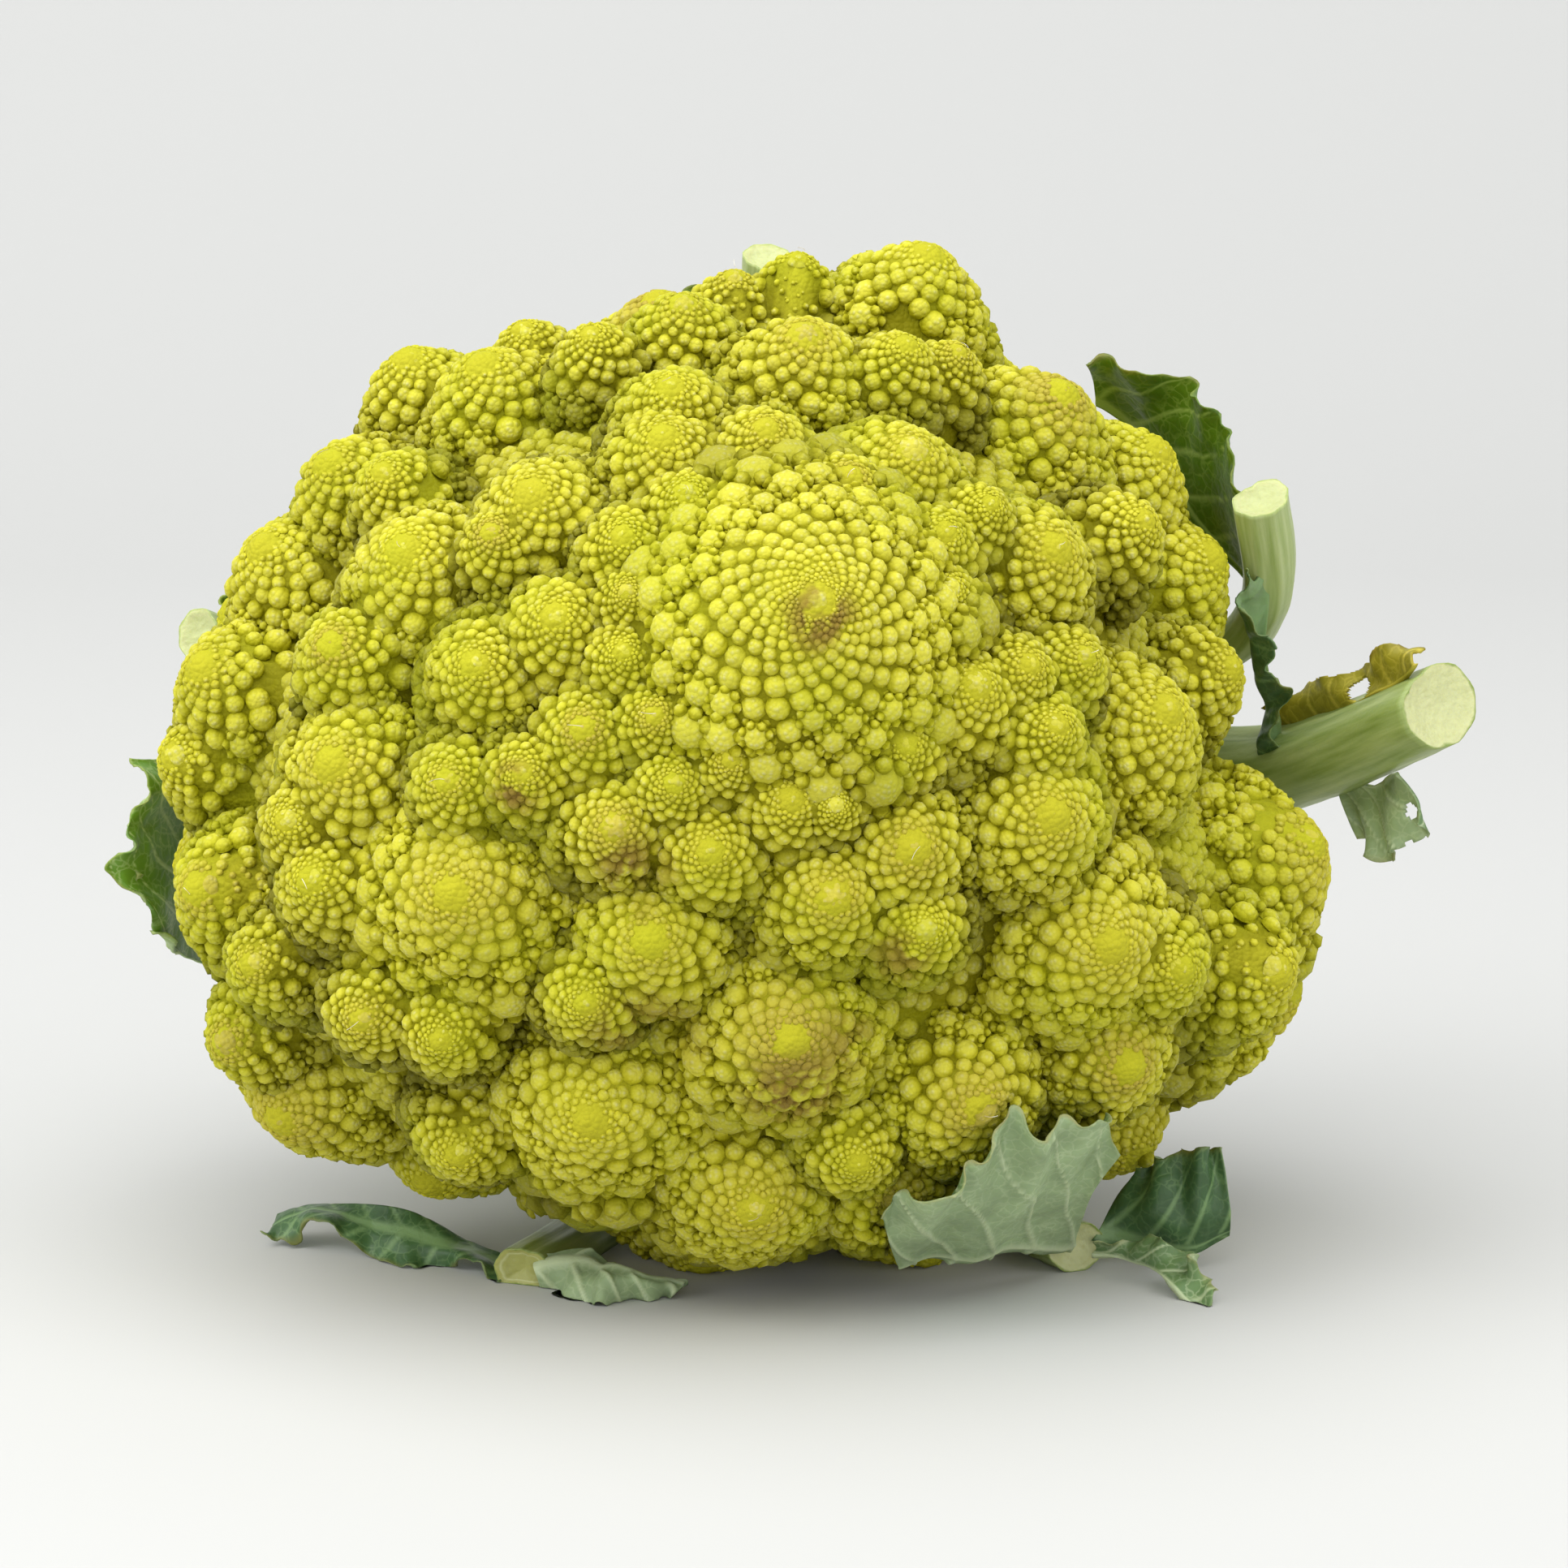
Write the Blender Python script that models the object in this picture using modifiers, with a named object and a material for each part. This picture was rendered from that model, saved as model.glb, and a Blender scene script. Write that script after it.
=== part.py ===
"""Romanesco broccoli, cut from its plant and lying on its side.

Metres, +Z up.  The head lies tip forward (-Y), propped on its lowest florets
and on two leaf stalks that run under it.  The origin is at the middle of the
bounding box, on the surface that the head rests on.
"""
import math
import random

import bmesh
import bpy
from mathutils import Matrix, Vector

MM = 0.001
GAP = 0.3 * MM                        # air between pieces that touch

# The head: a blunt dome round a leaning axis
MIDDLE = Vector((-6.1, -0.6, 72.5)) * MM    # middle of its widest section
AXIS_RISE = math.radians(26)          # the tip points forward and up
AXIS_YAW = math.radians(8)            # and a little to the right
FRONT = 72 * MM                       # from the middle to the front of the dome
# its half width in mm, every 30 degrees from the right
SIDE_REACH = (73, 75, 71, 69, 70, 76, 83, 87, 78, 77, 81, 88)
BLUNTNESS = 1.75                      # 2 would be an ellipsoid, 1 a cone
BACK = 30 * MM                        # the florets end this far behind the middle
BACK_RADIUS = 52 * MM                 # of the flat behind them, where the stem begins
BACK_RINGS = ((52, 48), (34, 24), (14, 8), (0, 1))     # radii in mm inside it, and points on each
BACK_CLEAR = 3 * MM                   # buds stay this far outside its edge
CORE = Vector((0, 0, -6)) * MM        # the whole surface can be seen from here

# How florets and buds are set
TURN = math.radians(137.508)          # from one bud to the next, the golden angle
CONE_RADIUS = 22 * MM                 # the young florets make a cone at the tip of the head
CONE_PROUD = 8 * MM                   # its tip stands this far out of the dome
CONE_BUDS = 90
CONE_SLOPE = 0.72                     # how far the cone's side drops per unit of radius
CONE_POINTED = 0.50                   # how much of that drop is straight, the rest bends down
FLORET_SLOPE = 1.05                   # the same for a floret
POINTED = 0.42
LEAN = 0.42                           # 0: a floret grows straight out; 1: along the head's axis
BUDS_PER_MM = 1.9                     # buds of a floret for each mm of its radius
SPREAD = 0.50                         # its buds are spaced evenly; more would crowd them at its tip
FLANK = 1.5                           # where a floret stands free its buds reach this share of its radius
COVERED = 0.3 * MM                    # a bud this deep under another floret is left out
CROWDED = 0.27                        # two tips closer than this, of their spacings together, are one
BUD_RISE = 0.10                       # a bud stands out of its floret's surface, of their spacing
GROOVE = 0.13                         # depth of the groove between buds, of their spacing
CLEFT = 0.50                          # and between florets
PRESSED = 1.2 * MM                    # buds this close to the surface are pressed flat on it
BESIDE_STALK = 2.2 * MM               # room that florets leave round a leaf stalk
BESIDE_BLADE = 3 * MM                 # and to each side of a leaf blade

# Where florets stand, as seen from the front: 12 degrees above level, 0.9 m away.
# Across and down are in pixels of 0.115 mm at the middle of the head.
PIXEL = 0.115 * MM
VIEW_RISE = math.radians(12)
VIEW_DISTANCE = 900 * MM
VIEW_CENTRE = (966, 966)
MIDDLE_SEEN = (918, 925)

# across, down, radius in mm
FLORETS = (
    # round the young florets of the tip
    (845, 600, 5.8), (925, 605, 4.8), (765, 655, 5.8), (765, 800, 4.8), (805, 880, 4.8),
    (830, 965, 5.2), (900, 935, 4.6), (1095, 640, 4.8), (1170, 650, 5.8), (1175, 720, 5.2),
    (1210, 840, 7.5), (1120, 915, 5.8), (1040, 920, 4.0), (977, 985, 6.3), (1032, 992, 4.0),
    (945, 520, 6.3), (1050, 580, 6.3), (770, 725, 4.1), (1150, 800, 4.8),
    # the second band
    (815, 530, 7.5), (825, 468, 6.9), (650, 600, 8.6), (680, 755, 6.9), (580, 815, 6.9),
    (715, 895, 6.3), (755, 1020, 6.9), (875, 1050, 6.9), (1030, 1107, 8.6), (1130, 1045, 8.6),
    (1145, 1148, 5.8), (1305, 1005, 9.8), (1275, 815, 5.8), (1310, 670, 8.6), (1130, 545, 8.1),
    (800, 1162, 9.8), (1225, 615, 4.6), (1345, 805, 5.5), (1310, 890, 5.8),
    # the third band
    (590, 435, 10.3), (465, 575, 5.8), (490, 670, 10.9), (400, 790, 6.9), (400, 938, 10.3),
    (552, 1103, 16.1), (375, 1085, 6.9), (725, 1388, 16.1), (978, 1288, 14.4),
    (1378, 1168, 14.4), (1215, 1375, 11.5), (1450, 870, 11.5), (1510, 680, 10.9),
    (1420, 635, 5.8), (1318, 472, 12.1), (1440, 545, 10.9), (1120, 415, 5.8), (995, 400, 9.8),
    (1185, 425, 4.6), (840, 362, 6.9), (1530, 820, 6.9), (1465, 1198, 6.9), (545, 960, 5.8),
    (640, 950, 5.2), (600, 650, 5.0), (345, 1010, 5.8), (440, 1260, 5.8), (540, 1285, 5.8),
    (720, 1240, 5.8), (1060, 1440, 5.8), (905, 330, 5.5),
    # the rim
    (495, 428, 8.1), (640, 395, 5.8), (725, 402, 5.2), (395, 560, 8.1), (312, 665, 11.5),
    (235, 815, 9.8), (200, 930, 6.9), (230, 1095, 8.6), (300, 1190, 5.8), (335, 1390, 13.8),
    (265, 1290, 6.9), (932, 1500, 13.8), (1632, 1032, 14.4), (1400, 1320, 9.8),
    (1150, 298, 10.9), (985, 308, 5.2), (1120, 1510, 8.6), (1590, 1200, 8.1), (560, 1430, 6.3),
)

# Florets that the front view hides fill the rest, largest first
HIDDEN_RADII = (13 * MM, 9 * MM, 6 * MM, 4.5 * MM)
HIDDEN_SIZES = (0.88, 1.1)            # they vary between these shares of it
HIDDEN_TRIES = 900
HIDDEN_REACH = math.radians(117)      # how far round towards the back florets grow
HIDDEN_BACK = 0.35                    # and how far they stay from the back, of their radius
HIDDEN_APART = 0.80                   # nearest two tips, of their radii together
HIDDEN_ASIDE = 0.7                    # nearest to the young florets, of their radius
TURNED_AWAY = 0.12                    # hidden florets face away from the front view by more than this

# The stem, behind the head
STEM_BRANCHES = 11
# distance behind the middle and radius in mm, depth of the furrows between branches (share of radius)
STEM_PROFILE = ((30, 45, 0.03), (34, 43, 0.10), (39, 39, 0.13), (45, 30, 0.13), (51, 23.5, 0.09),
                (58, 20.5, 0.04), (64, 20, 0.02), (70, 19.5, 0.01))
STEM_SIDES = 44
WHERE_ROUND = 50                      # mm behind the middle: from here on the stem is round
USUAL_REACH = 78 * MM                 # before that it follows the head's half width
SHAPE_SHARE = 0.4                     # by this much

STALK_SIDES = 10
STALK_STATIONS = 11
STALK_HEIGHT = 0.9                    # of its width
BLADE_THICKNESS = 0.8 * MM
WAVE = 1.6 * MM                       # how far a blade's edge waves
WAVE_STEP = 2.1                       # radians from one station of a blade to the next

# colour of the finish and its roughness
COLOURS = {
    "curd": ((0.50, 0.52, 0.05), 0.55),
    "stalk": ((0.42, 0.52, 0.26), 0.5),
    "dark": ((0.05, 0.13, 0.03), 0.5),
    "grey": ((0.16, 0.24, 0.15), 0.6),
    "wilted": ((0.33, 0.31, 0.05), 0.6),
}

HEAD_RIGHT = Vector((math.cos(AXIS_YAW), math.sin(AXIS_YAW), 0))
HEAD_TIP = Vector((math.sin(AXIS_YAW) * math.cos(AXIS_RISE),
                   -math.cos(AXIS_YAW) * math.cos(AXIS_RISE),
                   math.sin(AXIS_RISE)))
# columns: the head's right, its upper side and its tip
HEAD_TURN = Matrix((HEAD_RIGHT, HEAD_TIP.cross(HEAD_RIGHT), HEAD_TIP)).transposed()


def in_head(point):
    """A point in the head's own axes, from the middle of the head."""
    return HEAD_TURN.transposed() @ (point - MIDDLE)


def from_head(place):
    """A place in the head's axes as a point of the model."""
    return MIDDLE + HEAD_TURN @ place


def side_reach(clock):
    """Half width of the head at a clock angle, smooth between the measured ones."""
    steps = len(SIDE_REACH)
    turn = (clock / math.tau * steps) % steps
    first = int(turn)
    share = turn - first
    share = share * share * (3 - 2 * share)
    return MM * (SIDE_REACH[first % steps] * (1 - share) + SIDE_REACH[(first + 1) % steps] * share)


def dome(place):
    """1 on the dome's surface, less inside it."""
    clock = math.atan2(place.y, place.x)
    across = math.hypot(place.x, place.y) / side_reach(clock)
    return across ** BLUNTNESS + (abs(place.z) / FRONT) ** BLUNTNESS


def dome_reach(direction):
    """Distance from the middle of the head to the dome along a direction."""
    return dome(direction) ** (-1 / BLUNTNESS)


def dome_normal(place):
    """Which way is out, at a place on the dome."""
    step = 0.5 * MM
    slope = [dome(place + step * axis) - dome(place - step * axis)
             for axis in (Vector((1, 0, 0)), Vector((0, 1, 0)), Vector((0, 0, 1)))]
    return Vector(slope).normalized()


VIEW = Vector((0, math.cos(VIEW_RISE), -math.sin(VIEW_RISE)))
VIEW_RIGHT = Vector((1, 0, 0))
VIEW_UP = VIEW_RIGHT.cross(VIEW)
EYE = (MIDDLE - VIEW_DISTANCE * VIEW
       - VIEW_RIGHT * (MIDDLE_SEEN[0] - VIEW_CENTRE[0]) * PIXEL
       + VIEW_UP * (MIDDLE_SEEN[1] - VIEW_CENTRE[1]) * PIXEL)


def sight(across, down):
    """The line of sight through a place in the front view."""
    return (VIEW + VIEW_RIGHT * (across - VIEW_CENTRE[0]) * PIXEL / VIEW_DISTANCE
            - VIEW_UP * (down - VIEW_CENTRE[1]) * PIXEL / VIEW_DISTANCE)


def seen(across, down, depth):
    """The point seen there, depth millimetres behind the middle of the head."""
    line = sight(across, down)
    return EYE + line * ((MIDDLE.y + depth * MM - EYE.y) / line.y)


def seen_on_dome(across, down):
    """Where that line of sight first meets the dome, or passes closest to it."""
    line = sight(across, down)
    closest, closest_value = None, 1e9
    for step in range(600):
        place = in_head(EYE + line * (VIEW_DISTANCE - 100 * MM + step * 0.3 * MM))
        value = dome(place)
        if value < closest_value:
            closest, closest_value = place, value
        if value <= 1:
            break
    return closest


class Floret:
    """A cone of buds on the head."""

    def __init__(self, tip, radius, slope=FLORET_SLOPE, pointed=POINTED, buds=0):
        self.tip = tip
        self.radius = radius
        self.slope = slope
        self.pointed = pointed
        self.count = buds or max(6, round(BUDS_PER_MM * radius / MM))
        self.axis = dome_normal(tip).lerp(Vector((0, 0, 1)), LEAN).normalized()

    def covers(self, place):
        """Whether a place is under this floret's surface."""
        offset = place - self.tip
        below = -offset.dot(self.axis)
        across = (offset + below * self.axis).length
        return below > self.drop(across) + COVERED

    def reach(self, start, direction, low):
        """How far its surface lies along a direction, or low if it lies no further out."""
        high = (self.tip - start).length + 2 * MM
        if not self.covers(start + direction * low):
            return low
        for _ in range(9):
            middle = (low + high) / 2
            if self.covers(start + direction * middle):
                low = middle
            else:
                high = middle
        return low

    def drop(self, across):
        """How far its surface lies below its tip: pointed in the middle, steep at the rim."""
        share = across / self.radius
        return self.radius * self.slope * (self.pointed * share + (1 - self.pointed) * share ** 2)

    def buds(self, phase):
        """Its tip and the buds on its side, in a golden spiral."""
        right = self.axis.cross(Vector((0.3, 1, 0.2))).normalized()
        upper = self.axis.cross(right)
        spacing = self.radius * math.sqrt(math.pi / self.count)
        places = [(self.tip, spacing)]
        for number in range(round(self.count * FLANK ** (1 / SPREAD))):
            out = self.radius * ((number + 1) / self.count) ** SPREAD
            turn = phase + number * TURN
            side = math.cos(turn) * right + math.sin(turn) * upper
            places.append((self.tip - self.axis * self.drop(out) + side * out, spacing))
        return places


def place_florets():
    """The florets that the front view shows, those it hides, and the cone at the tip."""
    florets = [Floret(seen_on_dome(across, down), radius * MM) for across, down, radius in FLORETS]
    rng = random.Random(5)
    for radius in HIDDEN_RADII:
        for number in range(HIDDEN_TRIES):
            down = 1 - (number + 0.5) / HIDDEN_TRIES * (1 - math.cos(HIDDEN_REACH))
            clock = number * TURN
            flat = math.sqrt(1 - down * down)
            direction = Vector((flat * math.cos(clock), flat * math.sin(clock), down))
            size = radius * rng.uniform(*HIDDEN_SIZES)
            tip = direction * dome_reach(direction)
            if math.hypot(tip.x, tip.y) < CONE_RADIUS + HIDDEN_ASIDE * size and tip.z > 0:
                continue
            if tip.z < -BACK + HIDDEN_BACK * size:
                continue
            if (HEAD_TURN @ dome_normal(tip)).dot(VIEW) < TURNED_AWAY:
                continue
            if all((tip - other.tip).length > HIDDEN_APART * (size + other.radius)
                   for other in florets):
                florets.append(Floret(tip, size))
    top = Vector((0, 0, FRONT + CONE_PROUD))
    return florets + [Floret(top, CONE_RADIUS, CONE_SLOPE, CONE_POINTED, CONE_BUDS)]


def spline(points, stations):
    """Evenly numbered points on a smooth curve through the given ones."""
    last = len(points) - 1
    result = []
    for station in range(stations):
        along = station / (stations - 1) * last
        index = min(int(along), last - 1)
        t = along - index
        before = points[max(index - 1, 0)]
        start, end = points[index], points[index + 1]
        after = points[min(index + 2, last)]
        result.append(0.5 * (2 * start + (end - before) * t
                             + (2 * before - 5 * start + 4 * end - after) * t * t
                             + (3 * start - before - 3 * end + after) * t ** 3))
    return result


def material(name, colour, roughness):
    """A plain finish in the piece's main colour."""
    finish = bpy.data.materials.new(name)
    finish.use_nodes = True
    shader = finish.node_tree.nodes["Principled BSDF"]
    shader.inputs["Base Color"].default_value = (*colour, 1)
    shader.inputs["Roughness"].default_value = roughness
    finish.diffuse_color = (*colour, 1)
    return finish


def add_object(name, bm, finish, collection):
    """Turn a bmesh into a named piece."""
    mesh = bpy.data.meshes.new(name)
    bmesh.ops.recalc_face_normals(bm, faces=bm.faces)
    bm.to_mesh(mesh)
    bm.free()
    piece = bpy.data.objects.new(name, mesh)
    if finish:
        mesh.materials.append(finish)
    collection.objects.link(piece)
    return piece


def loft(rings):
    """A closed tube through rings of points, with flat ends."""
    bm = bmesh.new()
    rows = [[bm.verts.new(point) for point in ring] for ring in rings]
    sides = len(rows[0])
    for row, following in zip(rows, rows[1:]):
        for side in range(sides):
            after = (side + 1) % sides
            bm.faces.new((row[side], row[after], following[after], following[side]))
    bm.faces.new(rows[0][::-1])
    bm.faces.new(rows[-1])
    bmesh.ops.triangulate(bm, faces=bm.faces)
    return bm


def stalk_rings(route, radii, channel, extra=0.0):
    """Rings of a leaf stalk: round below, with a channel along its upper side."""
    points = spline([Vector(point) for point in route], STALK_STATIONS)
    sizes = spline([Vector((radius, 0, 0)) for radius in radii], STALK_STATIONS)
    rings = []
    ahead = (points[1] - points[0]).normalized()
    upper = (Vector((0, 0, 1)) - ahead.z * ahead).normalized()
    for index, point in enumerate(points):
        before, after = points[max(index - 1, 0)], points[min(index + 1, len(points) - 1)]
        ahead = (after - before).normalized()
        upper = (upper - upper.dot(ahead) * ahead).normalized()
        right = ahead.cross(upper)
        ring = []
        for side in range(STALK_SIDES):
            angle = math.tau * side / STALK_SIDES
            hollow = channel * max(0.0, math.sin(angle)) ** 3
            size = sizes[index].x * MM * (1 - hollow) + extra
            place = point + size * (right * math.cos(angle) + upper * math.sin(angle) * STALK_HEIGHT)
            if extra and index in (0, len(points) - 1):
                place += ahead * (extra if index else -extra)
            elif not extra:
                place.z = max(place.z, 0)
            ring.append(place)
        rings.append(ring)
    return rings


def stem_rings(extra=0.0):
    """Rings of the stem, from the branches under the florets to its cut end."""
    rings = []
    for behind, radius, furrow in STEM_PROFILE:
        ring = []
        for side in range(STEM_SIDES):
            clock = math.tau * side / STEM_SIDES
            wide = 1
            if behind < WHERE_ROUND:
                wide += SHAPE_SHARE * (side_reach(clock) / USUAL_REACH - 1)
            size = radius * MM * wide * (1 + furrow * math.cos(STEM_BRANCHES * clock)) + extra
            back = behind * MM
            if behind == STEM_PROFILE[0][0]:
                back += GAP
            if behind == STEM_PROFILE[-1][0]:
                back += extra
            ring.append(from_head(Vector((size * math.cos(clock), size * math.sin(clock), -back))))
        rings.append(ring)
    return rings


# Leaf stalks: where they leave the stem, in the head's axes (mm), then the route as seen
# from the front (across, down, depth behind the middle in mm), and the radius along it (mm)
STALKS = {
    "stalk_right": (((13, -4, -57), (1080, 905, 56), (1330, 930, 47), (1560, 945, 33), (1772, 866, 2)),
                    (8.5, 8.2, 7.8, 7.6, 7.0), 0.25),
    "stalk_upper_right": (((12, 8, -55), (1200, 790, 52), (1470, 800, 39), (1558, 740, 24), (1552, 612, 12)),
                          (7, 6, 4.8, 4.0, 4.3), 0.35),
    "stalk_top": (((0, 16, -55), (925, 640, 68), (940, 460, 60), (947, 319, 50)),
                  (7, 6, 4.6, 4.0), 0.3),
    "stalk_left": (((-14, 4, -56), (640, 840, 58), (380, 830, 36), (249, 783, 14)),
                   (7.5, 6, 4.6, 4.3), 0.3),
    "stalk_lower_left": (((-14, -5, -58), (640, 940, 60), (330, 1040, 40), (155, 1076, 6)),
                         (7, 5.5, 4, 2.0), 0.3),
    "stalk_front_left": (((-6, -15, -57), (800, 1380, 30), (745, 1500, 8), (645, 1566, -21)),
                         (8, 5.4, 5.0, 4.4), 0.25),
    "stalk_front_right": (((6, -15, -57), (1110, 1380, 30), (1230, 1490, 10), (1325, 1532, -14)),
                          (8, 5.4, 5.0, 4.6), 0.25),
}


def stalk_route(name):
    """A leaf stalk's route as points of the model."""
    route = STALKS[name][0]
    return [from_head(Vector(route[0]) * MM)] + [seen(*place) for place in route[1:]]


def build_stalks(collection, cutter_collection, finish, stem_cutter):
    """The leaf stalks, each cut to fit the stem and the stalks before it."""
    cutters = []
    for name, (_, radii, channel) in STALKS.items():
        route = stalk_route(name)
        piece = add_object(name, loft(stalk_rings(route, radii, channel)), finish, collection)
        cut(piece, stem_cutter)
        for cutter in cutters:
            cut(piece, cutter)
        cutters.append(add_object(name + "_cutter", loft(stalk_rings(route, radii, channel, GAP)),
                                  None, cutter_collection))
    return cutters


def cut(piece, cutter):
    """Take a cutter out of a piece and keep the largest body."""
    modifier = piece.modifiers.new("cut", "BOOLEAN")
    modifier.operation = "DIFFERENCE"
    modifier.object = cutter
    bpy.context.view_layer.update()
    evaluated = piece.evaluated_get(bpy.context.evaluated_depsgraph_get())
    mesh = bpy.data.meshes.new_from_object(evaluated)
    piece.modifiers.clear()
    piece.data = mesh
    bm = bmesh.new()
    bm.from_mesh(mesh)
    keep_largest(bm)
    bmesh.ops.triangulate(bm, faces=bm.faces)
    bm.to_mesh(mesh)
    bm.free()


def keep_largest(bm):
    """Drop loose scraps that a cut leaves."""
    left = set(bm.verts)
    bodies = []
    while left:
        body, edge = set(), [left.pop()]
        while edge:
            vert = edge.pop()
            body.add(vert)
            for link in vert.link_edges:
                other = link.other_vert(vert)
                if other in left:
                    left.discard(other)
                    edge.append(other)
        bodies.append(body)
    bodies.sort(key=len, reverse=True)
    for body in bodies[1:]:
        bmesh.ops.delete(bm, geom=list(body), context="VERTS")


# Leaf blades: rows of places (across, down, depth) from one edge to the other
BLADES = {
    "blade_upper_right": ("dark", 10, 5, (
        ((1350, 500, 38), (1400, 540, 38), (1440, 590, 35), (1480, 660, 30), (1560, 745, 25)),
        ((1345, 468, 34), (1412, 492, 33), (1462, 530, 28), (1492, 600, 24), (1558, 695, 20)),
        ((1340, 448, 31), (1408, 455, 28), (1470, 483, 24), (1503, 520, 19), (1552, 640, 14)))),
    "blade_right_wing": ("grey", 10, 4, (
        ((1552, 700, 17), (1556, 770, 20), (1566, 860, 25), (1572, 940, 29)),
        ((1538, 715, 15), (1545, 790, 18), (1552, 870, 23), (1556, 935, 27)),
        ((1532, 700, 13), (1556, 790, 14), (1580, 850, 18), (1584, 935, 24)))),
    "blade_right_upper": ("wilted", 10, 5, (
        ((1600, 925, 28), (1650, 880, 20), (1705, 850, 10), (1740, 818, 2)),
        ((1575, 905, 32), (1622, 855, 24), (1680, 838, 14), (1742, 805, 4)),
        ((1563, 883, 34), (1605, 840, 27), (1680, 815, 16), (1749, 793, 5)))),
    "blade_right_lower": ("grey", 9, 4, (
        ((1650, 940, 24), (1690, 968, 17), (1726, 950, 9)),
        ((1656, 985, 22), (1702, 1008, 14), (1746, 985, 6)),
        ((1672, 1036, 20), (1716, 1058, 12), (1752, 1025, 5)))),
    "blade_top": ("dark", 8, 4, (
        ((800, 470, 56), (850, 460, 57), (935, 450, 59)),
        ((790, 410, 53), (845, 400, 54), (935, 390, 56)),
        ((782, 372, 51), (835, 365, 52), (915, 350, 53)))),
    "blade_left": ("dark", 8, 4, (
        ((330, 830, 26), (345, 780, 27), (340, 730, 28)),
        ((300, 815, 20), (305, 770, 20), (310, 725, 22)),
        ((268, 790, 15), (288, 750, 14), (292, 715, 15)))),
    "blade_lower_left": ("dark", 11, 5, (
        ((262, 1190, 26), (262, 1110, 27), (262, 1040, 28), (255, 965, 27)),
        ((222, 1172, 14), (190, 1100, 8), (196, 1020, 10), (212, 940, 16)),
        ((212, 1160, 9), (150, 1085, 3), (160, 1015, 4), (184, 935, 9)))),
    "blade_front_left": ("grey", 12, 5, (
        ((640, 1548, -12), (560, 1520, -8), (490, 1490, -4), (400, 1480, 2), (345, 1500, 4)),
        ((630, 1560, -16), (556, 1545, -12), (480, 1525, -8), (392, 1498, -2), (335, 1520, 0)),
        ((618, 1575, -20), (560, 1562, -14), (484, 1560, -11), (385, 1512, -4), (326, 1528, -2)))),
    "blade_front_middle": ("grey", 12, 5, (
        ((662, 1556, -20), (722, 1540, -20), (755, 1558, -24), (800, 1576, -26), (850, 1584, -26)),
        ((668, 1572, -22), (706, 1574, -26), (745, 1577, -29), (790, 1582, -30), (834, 1591, -28)),
        ((672, 1590, -22), (690, 1628, -26), (737, 1611, -31), (783, 1629, -27), (822, 1602, -27)))),
    "blade_front_right": ("grey", 15, 6, (
        ((1318, 1536, -15), (1240, 1546, -25), (1170, 1552, -29), (1108, 1558, -31)),
        ((1342, 1468, -32), (1275, 1470, -40), (1180, 1502, -43), (1094, 1524, -41)),
        ((1378, 1425, -38), (1366, 1378, -45), (1318, 1378, -49), (1284, 1398, -51), (1250, 1382, -53),
         (1206, 1420, -54), (1182, 1460, -54), (1120, 1476, -52), (1090, 1498, -47)))),
    "blade_far_right": ("grey", 10, 5, (
        ((1345, 1528, -13), (1420, 1540, -12), (1470, 1545, -14), (1516, 1522, -14)),
        ((1372, 1480, -10), (1420, 1490, -14), (1470, 1500, -16), (1512, 1490, -14)),
        ((1405, 1450, -8), (1430, 1425, -10), (1470, 1412, -12), (1504, 1420, -10)))),
    "blade_floor_right": ("grey", 10, 4, (
        ((1345, 1545, -15), (1412, 1560, -20), (1450, 1590, -28), (1488, 1622, -32)),
        ((1350, 1538, -15), (1428, 1548, -21), (1465, 1575, -27), (1494, 1606, -31)),
        ((1354, 1528, -16), (1440, 1528, -20), (1475, 1556, -26), (1500, 1588, -29)))),
}

def blade_grid(rows, along, across, phase):
    """Points of a waved blade, a list of rows from edge to edge."""
    lines = [spline([seen(*place) for place in row], along) for row in rows]
    grid = []
    for station in range(along):
        column = spline([line[station] for line in lines], across)
        chord = (column[-1] - column[0]).normalized()
        before, after = max(station - 1, 0), min(station + 1, along - 1)
        ahead = (lines[1][after] - lines[1][before]).normalized()
        normal = chord.cross(ahead).normalized()
        for index, point in enumerate(column):
            share = index / (across - 1)
            edge = share ** 2 * math.sin(WAVE_STEP * station + phase)
            body = 0.4 * math.sin(4 * share + station)
            column[index] = point + normal * WAVE * (edge + body)
            column[index].z = max(column[index].z, BLADE_THICKNESS * 0.6)
        grid.append(column)
    return grid


def build_blades(collection, finishes, stalk_cutters):
    """The leaf blades, each waved, thin and cut clear of the stalks."""
    for number, (name, (colour, along, across, rows)) in enumerate(BLADES.items()):
        grid = blade_grid(rows, along, across, number)
        bm = bmesh.new()
        verts = [[bm.verts.new(point) for point in column] for column in grid]
        for column, following in zip(verts, verts[1:]):
            for index in range(across - 1):
                bm.faces.new((column[index], column[index + 1], following[index + 1], following[index]))
        bmesh.ops.triangulate(bm, faces=bm.faces)
        piece = add_object(name, bm, finishes[colour], collection)
        thick = piece.modifiers.new("thickness", "SOLIDIFY")
        thick.thickness = BLADE_THICKNESS
        thick.offset = 0
        for cutter in stalk_cutters:
            cut(piece, cutter)


def room(direction, start, obstacles):
    """How far a bud may stand out along a direction before it meets a leaf stalk or blade."""
    limit = 1.0
    for centre, radius in obstacles:
        offset = centre - start
        along = offset.dot(direction)
        if along <= 0:
            continue
        aside = (offset - along * direction).length
        if aside < radius:
            limit = min(limit, along - math.sqrt(radius * radius - aside * aside))
    return limit


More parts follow.
